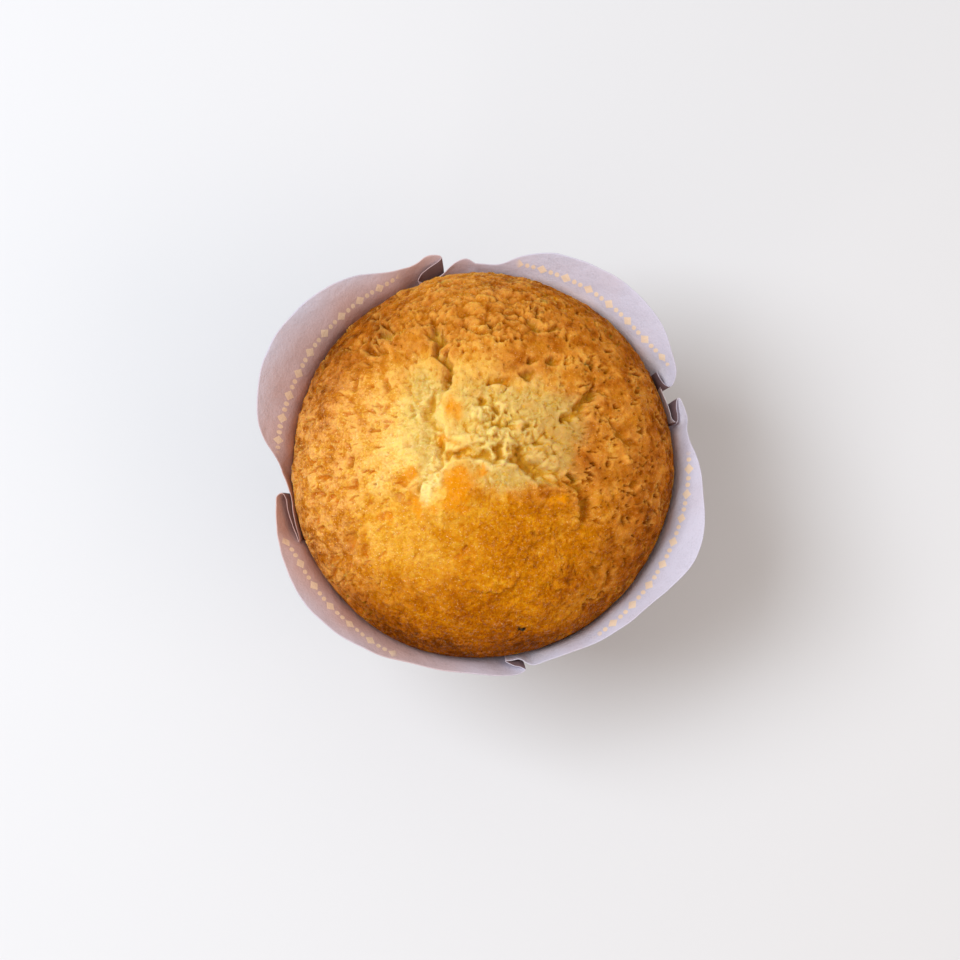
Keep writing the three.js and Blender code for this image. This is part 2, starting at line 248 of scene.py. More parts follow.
# x, y, half length along x and y, height of the larger lumps
BLOCKS = [
    (-9.9, -4.4, 2, 3.2, 0.6), (-11.4, -8.8, 1.6, 2.4, 0.9), (-14.5, 2.4, 2.8, 4.4, 0.4),
    (-0.2, 8, 2.4, 1.9, 1.0), (2, 4.1, 1.2, 1.1, 1.0), (-2.4, 2.3, 2.6, 1.6, 0.8),
    (13.7, -0.6, 4, 3, 0.8), (13.1, -5.5, 1.8, 1.3, 0.9), (22, 7.9, 2.2, 1.8, 0.6),
    (5.6, 1.4, 1.2, 2.2, 0.8), (9.5, 8.5, 4.5, 3.2, 0.4), (29.4, -1.2, 1.3, 0.9, 0.8),
]
print("tears:", len(TEARS), "pits:", len(PITS), "lumps:", len(BLOCKS))

# %% Height of the crown's large forms
def spot(x, y, cx, cy, half_x, half_y):
    """A soft spot: 1 at its centre and falling as a bell curve with the given half lengths."""
    return np.exp(-((x - cx) / half_x) ** 2 - ((y - cy) / half_y) ** 2)


def route_distance(x, y, route):
    """Distance from each point to the nearest straight run of a route, and which side of it the point
    lies on: +1 to the right of the way the route runs, -1 to the left."""
    best = np.full(len(x), 1e9)
    side = np.ones(len(x))
    for (ax, ay), (bx, by) in zip(route[:-1], route[1:]):
        dx, dy = bx - ax, by - ay
        along = np.clip(((x - ax) * dx + (y - ay) * dy) / (dx * dx + dy * dy), 0, 1)
        away = np.hypot(x - ax - along * dx, y - ay - along * dy)
        closer = away < best
        side = np.where(closer, np.where(dx * (y - ay) - dy * (x - ax) > 0, -1.0, 1.0), side)
        best = np.where(closer, away, best)
    return best, side


def crown_form(points, x, y):
    """Height of the crown's large forms in mm: swells, minus valleys whose walls rise from their route
    over their width, minus round pits, plus flaps that step up at an edge and ease off behind it."""
    height = 0.3 * np.sin(0.31 * x + 0.9) * np.cos(0.27 * y - 0.4)
    height += 0.22 * np.sin(0.55 * x - 0.2 * y + 1.3) * np.sin(0.61 * y + 0.17 * x)
    height -= 1.4 * spot(x, y, 8.5, -2.6, 3.8, 2.8)
    valley = np.zeros(len(x))
    broken = 0.3 + 0.8 * smoothstep(-0.45, 0.35, bumps(points, 2.6, 15))
    for tear in TEARS:
        away, _ = route_distance(x, y, tear["route"])
        fall = 1 - smoothstep(0.3, 1.75, away / tear["width"])
        valley = np.maximum(valley, tear["depth"] * fall * broken)
    for px, py, half_x, half_y, depth in PITS:
        reach = np.sqrt(((x - px) / half_x) ** 2 + ((y - py) / half_y) ** 2)
        valley = np.maximum(valley, depth * (1 - smoothstep(0.3, 1.35, reach)))
    away, side = route_distance(x, y, LOWER_FLAP)
    behind = smoothstep(-0.3, 0.5, away * side)
    shown = smoothstep(-13, -6, x) * smoothstep(-18, -9, y)
    rise = 1.7 + 0.5 * spot(x, y, 17, -9, 5, 5)
    height += shown * behind * rise * np.exp(-np.maximum(away * side, 0) / 5.5)
    away, side = route_distance(x, y, RAGGED_FLAKE)
    height += 1.2 * smoothstep(0.3, -0.3, away * side) * np.exp(-away / 3) * spot(x, y, 2.5, -25.5, 5, 4)
    away, side = route_distance(x, y, UPPER_FLAP)
    height += 1.3 * smoothstep(0.3, -0.5, away * side) * np.exp(-away / 3.2) * spot(x, y, -5, 8, 6, 9)
    for bx, by, half_x, half_y, rise in BLOCKS:
        reach = ((x - bx) / half_x) ** 2 + ((y - by) / half_y) ** 2
        height += rise * (1 - smoothstep(0.25, 1.45, reach))
    return height - valley, valley


def span(values):
    """The smallest and largest of some heights, as words to print."""
    return f"from {values.min():.2f} to {values.max():.2f} mm"


plan_x = dome[:, 0].copy()
plan_y = dome[:, 1].copy()
shift_x = 0.8 * bumps(dome, 3.2, 31) + 0.55 * bumps(dome, 1.3, 32)
shift_y = 0.8 * bumps(dome, 3.2, 33) + 0.55 * bumps(dome, 1.3, 34)
form, valley = crown_form(dome, plan_x + shift_x, plan_y + shift_y)
print("crown forms", span(form))

# %% [markdown]
# ## Where the crumb shows and where the crust is baked
#
# Four amounts describe the surface at every point: how far the pale crumb is laid bare, how brown
# the crust is baked, how moist and glossy it is, and where butter has made an amber stain. The crumb
# shows in the torn middle. The crust browns towards the paper, and its near side is the moist one. The
# amounts could be painted on the mesh by hand. Here they are sums of soft spots at given places and
# of random bumps, so that each can be read and changed on its own.
# The bake also carries painted shade: it darkens the rim where the cake meets the paper, and greys the
# crumb's right part where shade falls among its lumps.

# %% Spots of crumb, bake and butter
# x, y, half lengths along x and y, amount; in BAKE_AND_SHADE_SPOTS an amount below zero makes the crust
# paler, and several spots on the crumb's right part darken and grey it as painted shade among its lumps
TONGUE = [(-9.9, -4.4, 2, 3.2, 1), (-11.4, -8.8, 1.5, 2.4, 1)]
TORN_SPOTS = [
    (5.5, 6, 14, 11.5, 1.1), (-12, 1, 5.5, 9.5, 0.58), (5.5, -4.5, 8, 3.6, 0.7),
    (-12, 14, 6.5, 6.5, 0.55), (17.5, 8, 4.5, 4.5, 0.45), (14.5, -0.5, 5, 4.5, 0.5),
]
AMBER_SPOTS = [
    (-4.6, -6.8, 3.2, 4.4, 1.4), (-16.6, -5.6, 2.4, 2, 0.9), (14, -9.4, 4.6, 2.4, 1),
    (-5.6, 8, 1.8, 2.8, 0.8), (-15.2, -11, 3.6, 2.2, 0.9), (-7.5, -11.6, 3, 2.4, 0.8),
    (-20, -13.2, 2.6, 1.8, 0.8), (-7, 10, 2.4, 2.6, 0.6), (-7.2, 3, 2, 2.6, 0.6),
    (0, -4.6, 3, 1.6, 0.6), (-14, -4, 2.4, 2.4, 0.6),
]
BAKE_AND_SHADE_SPOTS = [
    (-31, -7, 13, 19, -0.1), (-6, 22, 22, 9, 0.12), (2, 38, 22, 8, -0.1), (-16, -17, 9, 7, -0.18),
    (-13, 2, 5, 8, -0.12), (-5.8, 8.2, 2, 3, 0.25), (-4, -6.8, 3.2, 4, 0.3), (14, -9.3, 5, 2.6, 0.3),
    (15, 5, 8, 8, 0.14), (16, 2.5, 6, 5, 0.34), (11, 0.5, 5, 4, 0.22), (7, 8, 9, 7, 0.17),
    (7.5, -3.6, 4.5, 3, 0.4), (14, -4, 5, 3.5, 0.12), (22, -3, 4, 4, 0.28), (18, 10.5, 7, 4, 0.22),
    (7.5, 18, 5, 4, 0.3), (11, 25, 6, 4, 0.12), (8, 34.5, 9, 4.5, 0.16), (25, 18.5, 8, 5, -0.04),
    (-15, -6, 3, 3, 0.15), (-14.5, -11, 3.5, 3.5, 0.15), (-21.5, 4.5, 5, 5, 0.2), (-22, 27, 5, 5, 0.1),
    (-29, 20, 5, 6, 0.2), (-36, 7, 5, 8, 0.1), (-14, -24, 5, 4, -0.08), (11, -12, 10, 6, 0.12),
    (16, -16, 6, 8, 0.09), (11, -21, 8, 5, 0.07), (21, -17.5, 6, 4, -0.09), (29.5, -9, 5, 6, 0.1),
]
print("spots of bake:", len(BAKE_AND_SHADE_SPOTS), "and of butter:", len(AMBER_SPOTS))

# %% Crumb, bake, moisture and butter
def soft_spots(x, y, spots):
    """The sum of soft spots, each a bell curve times its amount."""
    return sum(amount * spot(x, y, cx, cy, half_x, half_y) for cx, cy, half_x, half_y, amount in spots)


def surface_amounts(points, x, y, valley):
    """The crumb, bake, moisture and amber of each point, from 0 to 1: sums of soft spots, of slopes across
    the plan and of random bumps."""
    ragged = 0.2 * bumps(points, 5, 11) + 0.16 * bumps(points, 2.2, 12) + 0.1 * bumps(points, 1, 13)
    tongue = soft_spots(x, y, TONGUE)
    crumb = smoothstep(0.3, 0.95, soft_spots(x, y, TORN_SPOTS) + 0.8 * tongue + ragged)
    crumb *= 1 - 0.85 * spot(x, y, -5.8, 8.2, 2.3, 3.2)
    crumb = np.maximum(crumb, smoothstep(0.5, 1.6, valley))
    moist = smoothstep(-3, -13, y + 2 * bumps(points, 5, 25)) * np.exp(-(((x + 1) / 27) ** 4))
    radius = np.hypot(x, y)
    pale = np.exp(-(((x + 2) / 20) ** 2 + ((y - 4.5) / 14.5) ** 2) ** 1.3)
    bake = 0.42 + 0.26 * smoothstep(20, 40, radius) - 0.42 * pale - 0.4 * tongue
    # rim by the paper darker, here and on the near rim in the next line: partly browning, partly painted
    # shade
    bake += 0.12 * smoothstep(36, 41, radius) - 0.08 * smoothstep(15, 30, x - y)
    bake += 0.08 * smoothstep(-8, -20, y) + 0.13 * smoothstep(-33, -40, y)
    bake += 0.05 * smoothstep(12, 24, x) + 0.14 * smoothstep(31, 38, x)
    bake += 0.14 * bumps(points, 9, 21) + (0.14 - 0.08 * moist) * bumps(points, 3.4, 22)
    bake += 0.1 * bumps(points, 1.3, 24) + 0.14 * bumps(points, 6, 27) * spot(x, y, -22, 22, 12, 12)
    # some of these spots, on the crumb's right part, are painted shade among its lumps
    bake += soft_spots(x, y, BAKE_AND_SHADE_SPOTS)
    amber = smoothstep(0.35, 0.95, soft_spots(x, y, AMBER_SPOTS) + 2.6 * ragged)
    return crumb, np.clip(bake, 0, 1), np.clip(moist, 0, 1), amber


crumb, bake, moist, amber = surface_amounts(dome, plan_x, plan_y, valley)
print("crumb covers", round(float(crumb.mean()), 3), "of the dome's grid")

# %% [markdown]
# ## Fine relief of the crust
#
# Every side of the crust has set in its own way: clumps and crevices on the far side, slits that run
# down the right side, ridges and pits that run down the left, and faint wrinkles where the near side
# is moist. They could be sculpted one by one. A few random patterns, each with a size and a place,
# give them with no two alike. What lies round the dome, or runs down it, is laid on a cylinder that
# is unrolled from the dome and stretched one way.

# %% Patterns for relief
DOME_ARC = 53.0
CYLINDER_RADIUS = 32.0
SEAM_WIDTH = 0.22
HOLE_EDGE = 0.22


def unrolled(ring, turn, around, down):
    """Places on an unrolled dome: a cylinder whose height is the way down from the crown. The two scales
    say how closely lumps lie round the dome and down it."""
    reach = CYLINDER_RADIUS * around
    return np.stack([reach * np.cos(turn), reach * np.sin(turn), ring * DOME_ARC * down], -1)


def pebbles(points, size, seed):
    """Rounded pebbles with sharp seams: a cap that falls from each lump's centre, minus a narrow groove
    where the nearest two lumps are equally far."""
    nearest, second = lumps(points, size, seed)
    return 0.5 - nearest**2 - 0.35 * (1 - smoothstep(0, SEAM_WIDTH, second - nearest))


def billows(points, size, seed):
    """Puffed lumps with creases between them: the size of smooth bumps, whatever their sign."""
    return np.abs(bumps(points, size, seed))


def drift(points, size, seed):
    """A random sideways push that changes smoothly: three sets of smooth bumps, one for each direction."""
    return np.stack([bumps(points, size, seed + 10 * k) for k in range(3)], -1)


def holes(points, size, seed, level):
    """Pits of no set form: 1 where smooth bumps and finer ones together rise over a level, 0 elsewhere."""
    total = bumps(points, size, seed) + 0.45 * bumps(points, 0.42 * size, seed + 3)
    return smoothstep(level, level + HOLE_EDGE, total)


print("pebbles on some of the dome:", span(pebbles(dome[::100], 3, 41)))

# %% The crust's relief
def crust_relief(points, ring, turn, x, y, moist):
    """Height of the crust in mm: a soft base, clumps and crevices on the far side, slits that run down the
    right side, ridges and pits on the left, and everything fainter where the crust is moist."""
    dry = 1 - 0.7 * moist
    clumped = smoothstep(0.15, 0.75, spot(x, y, 0, 31, 17, 12) + 0.35 * bumps(points, 8, 77))
    right = smoothstep(8, 22, x - 0.1 * y)
    left = smoothstep(-9, -20, x)
    pushed = 0.5 * drift(points, 1.6, 71)
    warped = points + pushed
    round_it = unrolled(ring, turn, 0.55, 1.5) + pushed
    down_it = unrolled(ring, turn, 1.45, 0.75) + pushed
    height = 0.35 * bumps(points, 7, 48) + 0.2 * bumps(points, 3.2, 79)
    grain = 0.15 * bumps(points, 1.5, 45) + 0.09 * bumps(points, 0.75, 78)
    height += grain * (0.5 + 0.5 * dry) * (1 - 0.5 * left)
    height += 0.42 * moist * (billows(unrolled(ring, turn, 0.75, 1.5) + 2 * pushed, 2.3, 49) - 0.4)
    clumps = 0.75 * pebbles(unrolled(ring, turn, 0.8, 1.25) + pushed, 2.9, 41)
    height += clumped * (clumps + 0.3 * pebbles(warped, 1.4, 42))
    height -= (0.1 + 1.1 * clumped) * dry * holes(round_it, 2.5, 46, 0.36)
    height -= (0.05 + 0.8 * right) * dry * holes(down_it, 2.1, 43, 0.38)
    ridges = 0.34 * bumps(down_it, 2.6, 81)
    ridges += 0.16 * bumps(unrolled(ring, turn, 1.8, 0.9) + pushed, 1.7, 82)
    height += left * dry * ridges
    height -= (0.05 + 0.85 * left) * dry * holes(0.5 * (warped + down_it), 1.7, 44, 0.35)
    return height - (0.45 + 0.1 * right) * dry * holes(warped, 1.2, 47, 0.45)


crust_height = crust_relief(dome, dome_ring, dome_turn, plan_x, plan_y, moist)
print("crust relief", span(crust_height))

# %% [markdown]
# ## Relief of the open crumb
#
# Where the crust has torn, the soft inside shows. In the middle of the tear it is broken into lumps
# with gaps between them, and round that it is a sponge with pores of two sizes. A ball for each lump
# would look like gravel, so lumps, gaps and pores are random patterns too, mixed by where each
# belongs.

# %% The crumb's relief
def crumb_relief(points, x, y):
    """Height of the open crumb in mm: broken lumps of two sizes with gaps between them in the middle of the
    tear, and round them a sponge, which is a soft base with two sizes of pores."""
    warped = points + 0.8 * drift(points, 2.1, 75)
    broken = spot(x, y, 4, 4.5, 10, 6.5) + 0.8 * spot(x, y, 11, -1, 6, 4) + 0.35 * bumps(points, 5, 55)
    broken = smoothstep(0.2, 0.75, broken)
    rubble = 0.5 * billows(warped, 4.2, 51) + 0.9 * pebbles(warped, 2.9, 52) + 0.22 * pebbles(warped, 1.4, 53)
    rubble += 0.2 * bumps(points, 0.9, 58) - 0.7 * holes(warped, 2.0, 54, 0.32)
    sponge = 0.4 * bumps(points, 2.6, 60) + 0.2 * bumps(points, 1.1, 56) - 0.6 * holes(warped, 1.5, 61, 0.36)
    sponge -= 0.4 * holes(warped, 0.95, 59, 0.38)
    return rubble * broken + sponge * (1 - broken) - 0.1


crumb_height = crumb_relief(dome, plan_x, plan_y)
print("crumb relief", span(crumb_height))

# %% [markdown]
# ## Lift the dome
#
# The large forms and the fine relief are added along the dome's normals, and fade at the widest ring,
# where the cake meets the paper. A Displace modifier could do that with a texture, but numpy also
# tells how far each point lies below or above its neighbours. Those hollows and ridges are kept for
# the finish. A hollow gets the deeper colour of moist dough and also painted shade, darker the deeper
# it is, and the top of a lump gets a painted highlight.

# %% Lift the dome
def grid_blur(values, reach):
    """The mean of each grid point's neighbours within reach cells, along both ways of the grid and twice
    over, which comes close to a bell-shaped blur."""
    side = 2 * DOME_CELLS + 1
    grid = values.reshape(side, side)
    width = 2 * reach + 1
    for axis in (0, 1, 0, 1):
        padding = [(reach + 1, reach) if k == axis else (0, 0) for k in (0, 1)]
        total = np.cumsum(np.pad(grid, padding, mode="edge"), axis)
        ahead = np.take(total, range(width, width + side), axis)
        grid = (ahead - np.take(total, range(side), axis)) / width
    return grid.ravel()


calm = 1 - 0.7 * spot(plan_x, plan_y, 5.5, -5.5, 9, 3.2) - 0.4 * spot(plan_x, plan_y, -6, 8, 3, 6)
calm -= 0.5 * smoothstep(-6, -14, plan_x)
fine = crust_height * (1 - crumb) + crumb_height * crumb * calm
edge_fade = 1 - smoothstep(0.9, 1.0, dome_ring)
dome_relief = (form * smoothstep(0.98, 0.72, dome_ring) - 0.5 * crumb + fine) * (0.25 + 0.75 * edge_fade)
dome_relief *= np.where(dome_ring > 0.999, 0, 1)
sideways = drift(dome, 2.0, 57) * ((0.22 + 0.16 * crumb) * edge_fade)[:, None]
cake_dome = dome + dome_normal * dome_relief[:, None] + sideways
print("relief of the dome", span(dome_relief))

# %% Hollows, ridges, grain and the burnt fleck
NEAR_CELLS = 2
WIDE_CELLS = 8
# Hollows and ridges from the relief. The finish darkens the hollows, partly as painted shade, and makes the
# ridges paler as a painted highlight.
near_sunk = grid_blur(dome_relief, NEAR_CELLS) - dome_relief
wide_sunk = grid_blur(dome_relief, WIDE_CELLS) - dome_relief
hollow = 0.7 * smoothstep(0.03, 0.26, near_sunk) + 0.6 * smoothstep(0.1, 1.1, wide_sunk)
hollow *= 1 - 0.5 * spot(plan_x, plan_y, -14, 4, 7, 11)
ridge = smoothstep(0.02, 0.3, -near_sunk) + 1.2 * soft_spots(plan_x, plan_y, TONGUE)
grainy = smoothstep(-2, -18, plan_x + 0.25 * plan_y + 3 * bumps(dome, 6, 26)) * smoothstep(26, 5, plan_y)
grainy *= smoothstep(-33, -20, plan_y)
grainy += 0.5 * spot(plan_x, plan_y, -4, 38, 17, 6) + 0.15 * spot(plan_x, plan_y, 37, 5, 6, 18)
burnt = smoothstep(0.35, 0.6, spot(plan_x + shift_x, plan_y + shift_y, 8.1, -35.7, 0.9, 0.6))
print("hollows cover", round(float((hollow > 0.5).mean()), 3), "of the dome's grid")

# %% [markdown]
# ## The cake as one closed mesh
#
# The dome's outer ring carries on down the side, which lies against the paper, to a flat foot. The
# rings of the side have the same points as the dome's edge, so the whole cake is one closed skin.

# %% Helpers for closed meshes
def edge_loop(cells):
    """The numbers of the grid's outer points, once round anticlockwise from the angle -45 degrees."""
    side = 2 * cells + 1
    numbers = np.arange(side * side).reshape(side, side)
    return np.concatenate([numbers[:-1, -1], numbers[-1, :0:-1], numbers[:0:-1, 0], numbers[0, :-1]])


def grid_faces(rows, columns):
    """Quads of a grid of rows and columns of point numbers, each turned to face the grid's upper side."""
    numbers = np.arange(rows * columns).reshape(rows, columns)
    corners = [numbers[:-1, :-1], numbers[:-1, 1:], numbers[1:, 1:], numbers[1:, :-1]]
    return np.stack(corners, -1).reshape(-1, 4)


def loop_faces(upper, lower):
    """Quads between two closed loops of point numbers, facing away from the loops' middle."""
    return np.stack([upper, lower, np.roll(lower, -1), np.roll(upper, -1)], -1)


def mesh_object(name, points_mm, quads, triangles=(), smooth=True):
    """A new object at the origin from points in mm, quads and triangles, all given as whole arrays."""
    mesh = bpy.data.meshes.new(name)
    faces = np.concatenate([np.asarray(quads, int).ravel(), np.asarray(triangles, int).ravel()])
    sizes = np.concatenate([np.full(len(quads), 4), np.full(len(triangles), 3)]).astype(int)
    starts = np.concatenate([[0], np.cumsum(sizes)[:-1]]).astype(int)
    mesh.vertices.add(len(points_mm))
    mesh.vertices.foreach_set("co", (np.asarray(points_mm) * MM).astype(np.float32).ravel())
    mesh.loops.add(len(faces))
    mesh.loops.foreach_set("vertex_index", faces.astype(np.int32))
    mesh.polygons.add(len(sizes))
    mesh.polygons.foreach_set("loop_start", starts.astype(np.int32))
    mesh.polygons.foreach_set("use_smooth", np.full(len(sizes), smooth))
    mesh.update(calc_edges=True)
    mesh.validate()
    made = bpy.data.objects.new(name, mesh)
    bpy.context.scene.collection.objects.link(made)
    return made


def add_amount(piece, name, values):
    """Keeps one number for each point on the mesh, under a name that a material can read."""
    amount = piece.data.attributes.new(name, "FLOAT", "POINT")
    amount.data.foreach_set("value", np.asarray(values, np.float32))


print("points round the dome's edge:", len(edge_loop(DOME_CELLS)))

# %% Make the cake
SIDE_HEIGHTS = (48.5, 45, 38, 30, 20, 2.7)
FOOT_HEIGHT = 0.9
FOOT_CORNER = 1.6
SIDE_BAKE = 0.8
rim = edge_loop(DOME_CELLS)
rim_turn = dome_turn[rim]
sides = []
for z in (*SIDE_HEIGHTS, FOOT_HEIGHT):
    inset = CAKE_INSET + (FOOT_CORNER if z == FOOT_HEIGHT else 0)
    radius = case_radius(z) + paper_lean(rim_turn, z) - inset
    sides.append(np.stack([radius * np.cos(rim_turn), radius * np.sin(rim_turn), np.full(len(rim), z)], -1))
cake_points = np.concatenate([cake_dome, *sides, [[0, 0, FOOT_HEIGHT]]])
loops = [rim] + [len(cake_dome) + k * len(rim) + np.arange(len(rim)) for k in range(len(sides))]
cake_quads = np.concatenate([grid_faces(2 * DOME_CELLS + 1, 2 * DOME_CELLS + 1),
                             *[loop_faces(a, b) for a, b in zip(loops[:-1], loops[1:])]])
foot = np.full(len(rim), len(cake_points) - 1)
foot_triangles = np.stack([loops[-1], foot, np.roll(loops[-1], -1)], -1)
cake = mesh_object("cake_baked", cake_points, cake_quads, foot_triangles)
amounts = dict(crumb=crumb, bake=bake, moist=moist, amber=amber, hollow=np.clip(hollow, 0, 1),
               ridge=np.clip(ridge, 0, 1.3), grainy=grainy, burnt=burnt)
for name, values in amounts.items():
    under_paper = np.full(len(cake_points) - len(cake_dome), SIDE_BAKE if name == "bake" else 0.0)
    add_amount(cake, name, np.concatenate([values, under_paper]))
print("cake triangles:", len(cake_quads) * 2 + len(foot_triangles))

# %% [markdown]
# ## The paper case
#
# The case is one sheet pressed over a cone. Between two petals the spare paper makes a pleat: the
# sheet runs along the cake, turns back on itself, turns again round a tip and goes on as the next
# petal. So the sheet is one grid: its columns run round the case along that pleated line and its rows
# run from the foot up to the paper's edge. A simulated sheet would fold where it likes. So the line is
# drawn through a few given points, because every pleat of the real case stands open in its own way.

# %% The petals' edges, the pleats and the paper's sizes
# angle and height of the paper's edge along the middle of each petal
PETALS = [
    [(38, 58.8), (50, 59.4), (62, 58.8), (74, 57.6), (79, 56.2), (86, 53.7)],
    [(116, 56.4), (125, 59), (143, 61), (159, 60.7), (172, 57.8)],
    [(206, 57.1), (227, 58.3), (240, 56.8), (250, 55.3), (265, 55.2)],
    [(292, 54.8), (304, 55.9), (321, 57.8), (338, 59.8), (354, 57.6)],
]
# the pleat after each petal, along the sheet: angle, folded layer, stand-off at the edge, edge height
PLEATS = [
    [(91.8, 0, 0.25, 53.5), (94.2, 0, 0.6, 54.2), (96.6, 0, 0.7, 53.7), (99.1, 0, 0.5, 52.7),
     (100.9, 0, 0.25, 51.9), (102.7, 0, 0, 51.4), (105.4, 0, -0.2, 51.1), (108.2, 0.2, -0.2, 51.4),
     (109, 0.5, 0, 52), (107.9, 1, 0.3, 52.8), (105.6, 1, 0.4, 53.6), (103.4, 1, 0.6, 54),
     (101.7, 1.1, 0.8, 54.4), (101, 1.5, 1.05, 54.7), (101.4, 1.9, 1.3, 54.9), (102.9, 2, 1.5, 55.2),
     (105.4, 2, 1.5, 55.2), (107.5, 1.7, 1.2, 54.8), (110.3, 1, 0.8, 54.9)],
    [(181.7, 0, -0.6, 53.2), (186.3, 0, -1.2, 52.4), (189.2, 0, -1.4, 52), (194.5, 0, -1.15, 52),
     (198, 0, -0.95, 52), (201.1, 0, -0.9, 52.2), (202.6, 0.2, -0.8, 52.4), (203.2, 0.5, -0.6, 52.5),
     (202.4, 0.8, -0.35, 52.6), (199.7, 1, -0.1, 52.7), (196.6, 1, 0, 52.8), (193.2, 1, 0, 52.9),
     (189.6, 1.1, 0.05, 53), (188.3, 1.5, 0.35, 53.2), (189.1, 1.9, 0.65, 53.5),
     (191.4, 2, 0.75, 53.9), (195.2, 2, 0.85, 54.7), (199.1, 1.6, 0.9, 55.4)],
    [(271, 0.6, 0.3, 55.1), (275.8, 1.6, 0.7, 54.9), (279.2, 2, 1.15, 54.5), (280.8, 1.9, 1.2, 54.2),
     (281.9, 1.5, 0.95, 53.9), (281, 1.1, 0.6, 53.6), (278.9, 1, 0.35, 53.3), (277.5, 0.9, 0.1, 53),
     (276.8, 0.5, -0.1, 52.7), (277.5, 0.1, -0.3, 52.6), (279.1, 0, -0.4, 52.6), (281.3, 0, 0, 52.9),
     (282.4, 0, 0.3, 53.3), (284.2, 0, 0.5, 53.8), (286, 0, 0.4, 54.2)],
    [(366, 0.3, 0.05, 55.1), (369.2, 1, 0.3, 54.6), (372, 1.7, 0.75, 54.2), (373.6, 2, 1.05, 54),
     (376.1, 2, 1.3, 53.7), (378.6, 1.6, 1.1, 53.4), (378.5, 1.2, 0.8, 53.3), (376.5, 1, 0.4, 53.3),
     (373.7, 1, 0.25, 53.3), (372.2, 0.8, 0.05, 53.2), (371.9, 0.5, -0.35, 53),
     (372.4, 0.2, -0.75, 52.8), (373.3, 0, -1, 52.5), (375.7, 0, -0.95, 52.4), (380.6, 0, -0.9, 52.2),
     (383.2, 0, -0.95, 52.3), (385.9, 0, -0.85, 52.6), (387.4, 0.2, -0.75, 52.9),
     (388, 0.5, -0.55, 53), (387.2, 0.8, -0.35, 53.1), (386.2, 1, -0.25, 53.2),
     (384.1, 1, -0.15, 53.5), (382.9, 1.2, 0.05, 53.8), (382.4, 1.5, 0.3, 54),
     (383.5, 1.9, 0.65, 54.8), (385.2, 1.9, 1, 55.5), (388, 1.2, 0.9, 56.4)],
]
NOTCH_HEIGHT = 52.0
PAPER = 0.15
PRESSED_LAYER = 0.42
PLEAT_STEP = 0.3
PETAL_STEP = 1.0
PAPER_ROWS = 62
PRINT_FROM = 55.7
PRINT_FULL = 56.1
print("petals:", len(PETALS), "and points of the pleats:", [len(pleat) for pleat in PLEATS])

# %% The pleated line round the case
def drawn_line(knots, step, scale):
    """A smooth curve through given points: between two of them the cubic whose slope at each point is
    the mean of the slopes on both sides, the shorter side counting more. Lengths are measured with each
    value times its scale, and the curve is cut into pieces of about a step."""
    knots = np.asarray(knots, float)
    lengths = np.linalg.norm(np.diff(knots, axis=0) * scale, axis=1)
    slopes = np.diff(knots, axis=0) / lengths[:, None]
    share = (lengths[:-1] / (lengths[:-1] + lengths[1:]))[:, None]
    inner = slopes[:-1] * (1 - share) + slopes[1:] * share
    tangents = np.vstack([slopes[:1], inner, slopes[-1:]])
    counts = np.maximum(2, np.ceil(lengths / step)).astype(int)
    piece = np.repeat(np.arange(len(counts)), counts)
    before = np.repeat(np.cumsum(counts) - counts, counts)
    t = ((np.arange(counts.sum()) - before) / counts[piece])[:, None]
    length = lengths[piece][:, None]
    here, there = knots[piece], knots[piece + 1]
    return (here * (1 + 2 * t) * (1 - t) ** 2 + there * t * t * (3 - 2 * t)
            + length * (tangents[piece] * t * (1 - t) ** 2 - tangents[piece + 1] * t * t * (1 - t)))


def pleated_line():
    """The sheet's line round the case, as columns of: angle at the edge, folded layer, stand-off, edge
    height, angle at the foot, and how far the column belongs to a petal. At the foot a pleat's columns
    share the angle between its first and last points, by their lengths."""
    scale = np.array([math.radians(CASE_RIM_RADIUS), 1, 1, 1])
    stretches = []
    for k, pleat in enumerate(PLEATS):
        following = PETALS[(k + 1) % len(PETALS)]
        turn_on = 360 if k + 1 == len(PLEATS) else 0
        petal = [(angle + turn_on, 0, 0, height) for angle, height in following]
        after = [(p[0] + turn_on, *p[1:]) for p in PLEATS[(k + 1) % len(PLEATS)][:1]]
        fold = drawn_line(pleat, PLEAT_STEP, scale)
        face = drawn_line([pleat[-1], *petal, *after], PETAL_STEP, scale)
        run = np.linspace(0, 1, len(fold), endpoint=False)
        foot = pleat[0][0] + (pleat[-1][0] - pleat[0][0]) * run
        shown = smoothstep(PRINT_FROM, PRINT_FULL, face[:, 3])
        stretches.append(np.column_stack([fold, foot, np.zeros(len(fold))]))
        stretches.append(np.column_stack([face, face[:, 0], shown]))
    return np.concatenate(stretches)


line = pleated_line()
print("columns round the case:", len(line))

# %% [markdown]
# ## The sheet on its cone
#
# Low down, the press has laid the pleats flat on the wall, so their layers touch. Towards the edge
# they spring apart, and the petals lean out where the swollen cake has pushed them. Each column of the
# sheet therefore goes from a pressed place at the foot to its drawn place at the edge. Soft waves,
# pressed creases near the foot and fine crinkles are then added as real relief, because creased paper
# shows its folds in the outline.

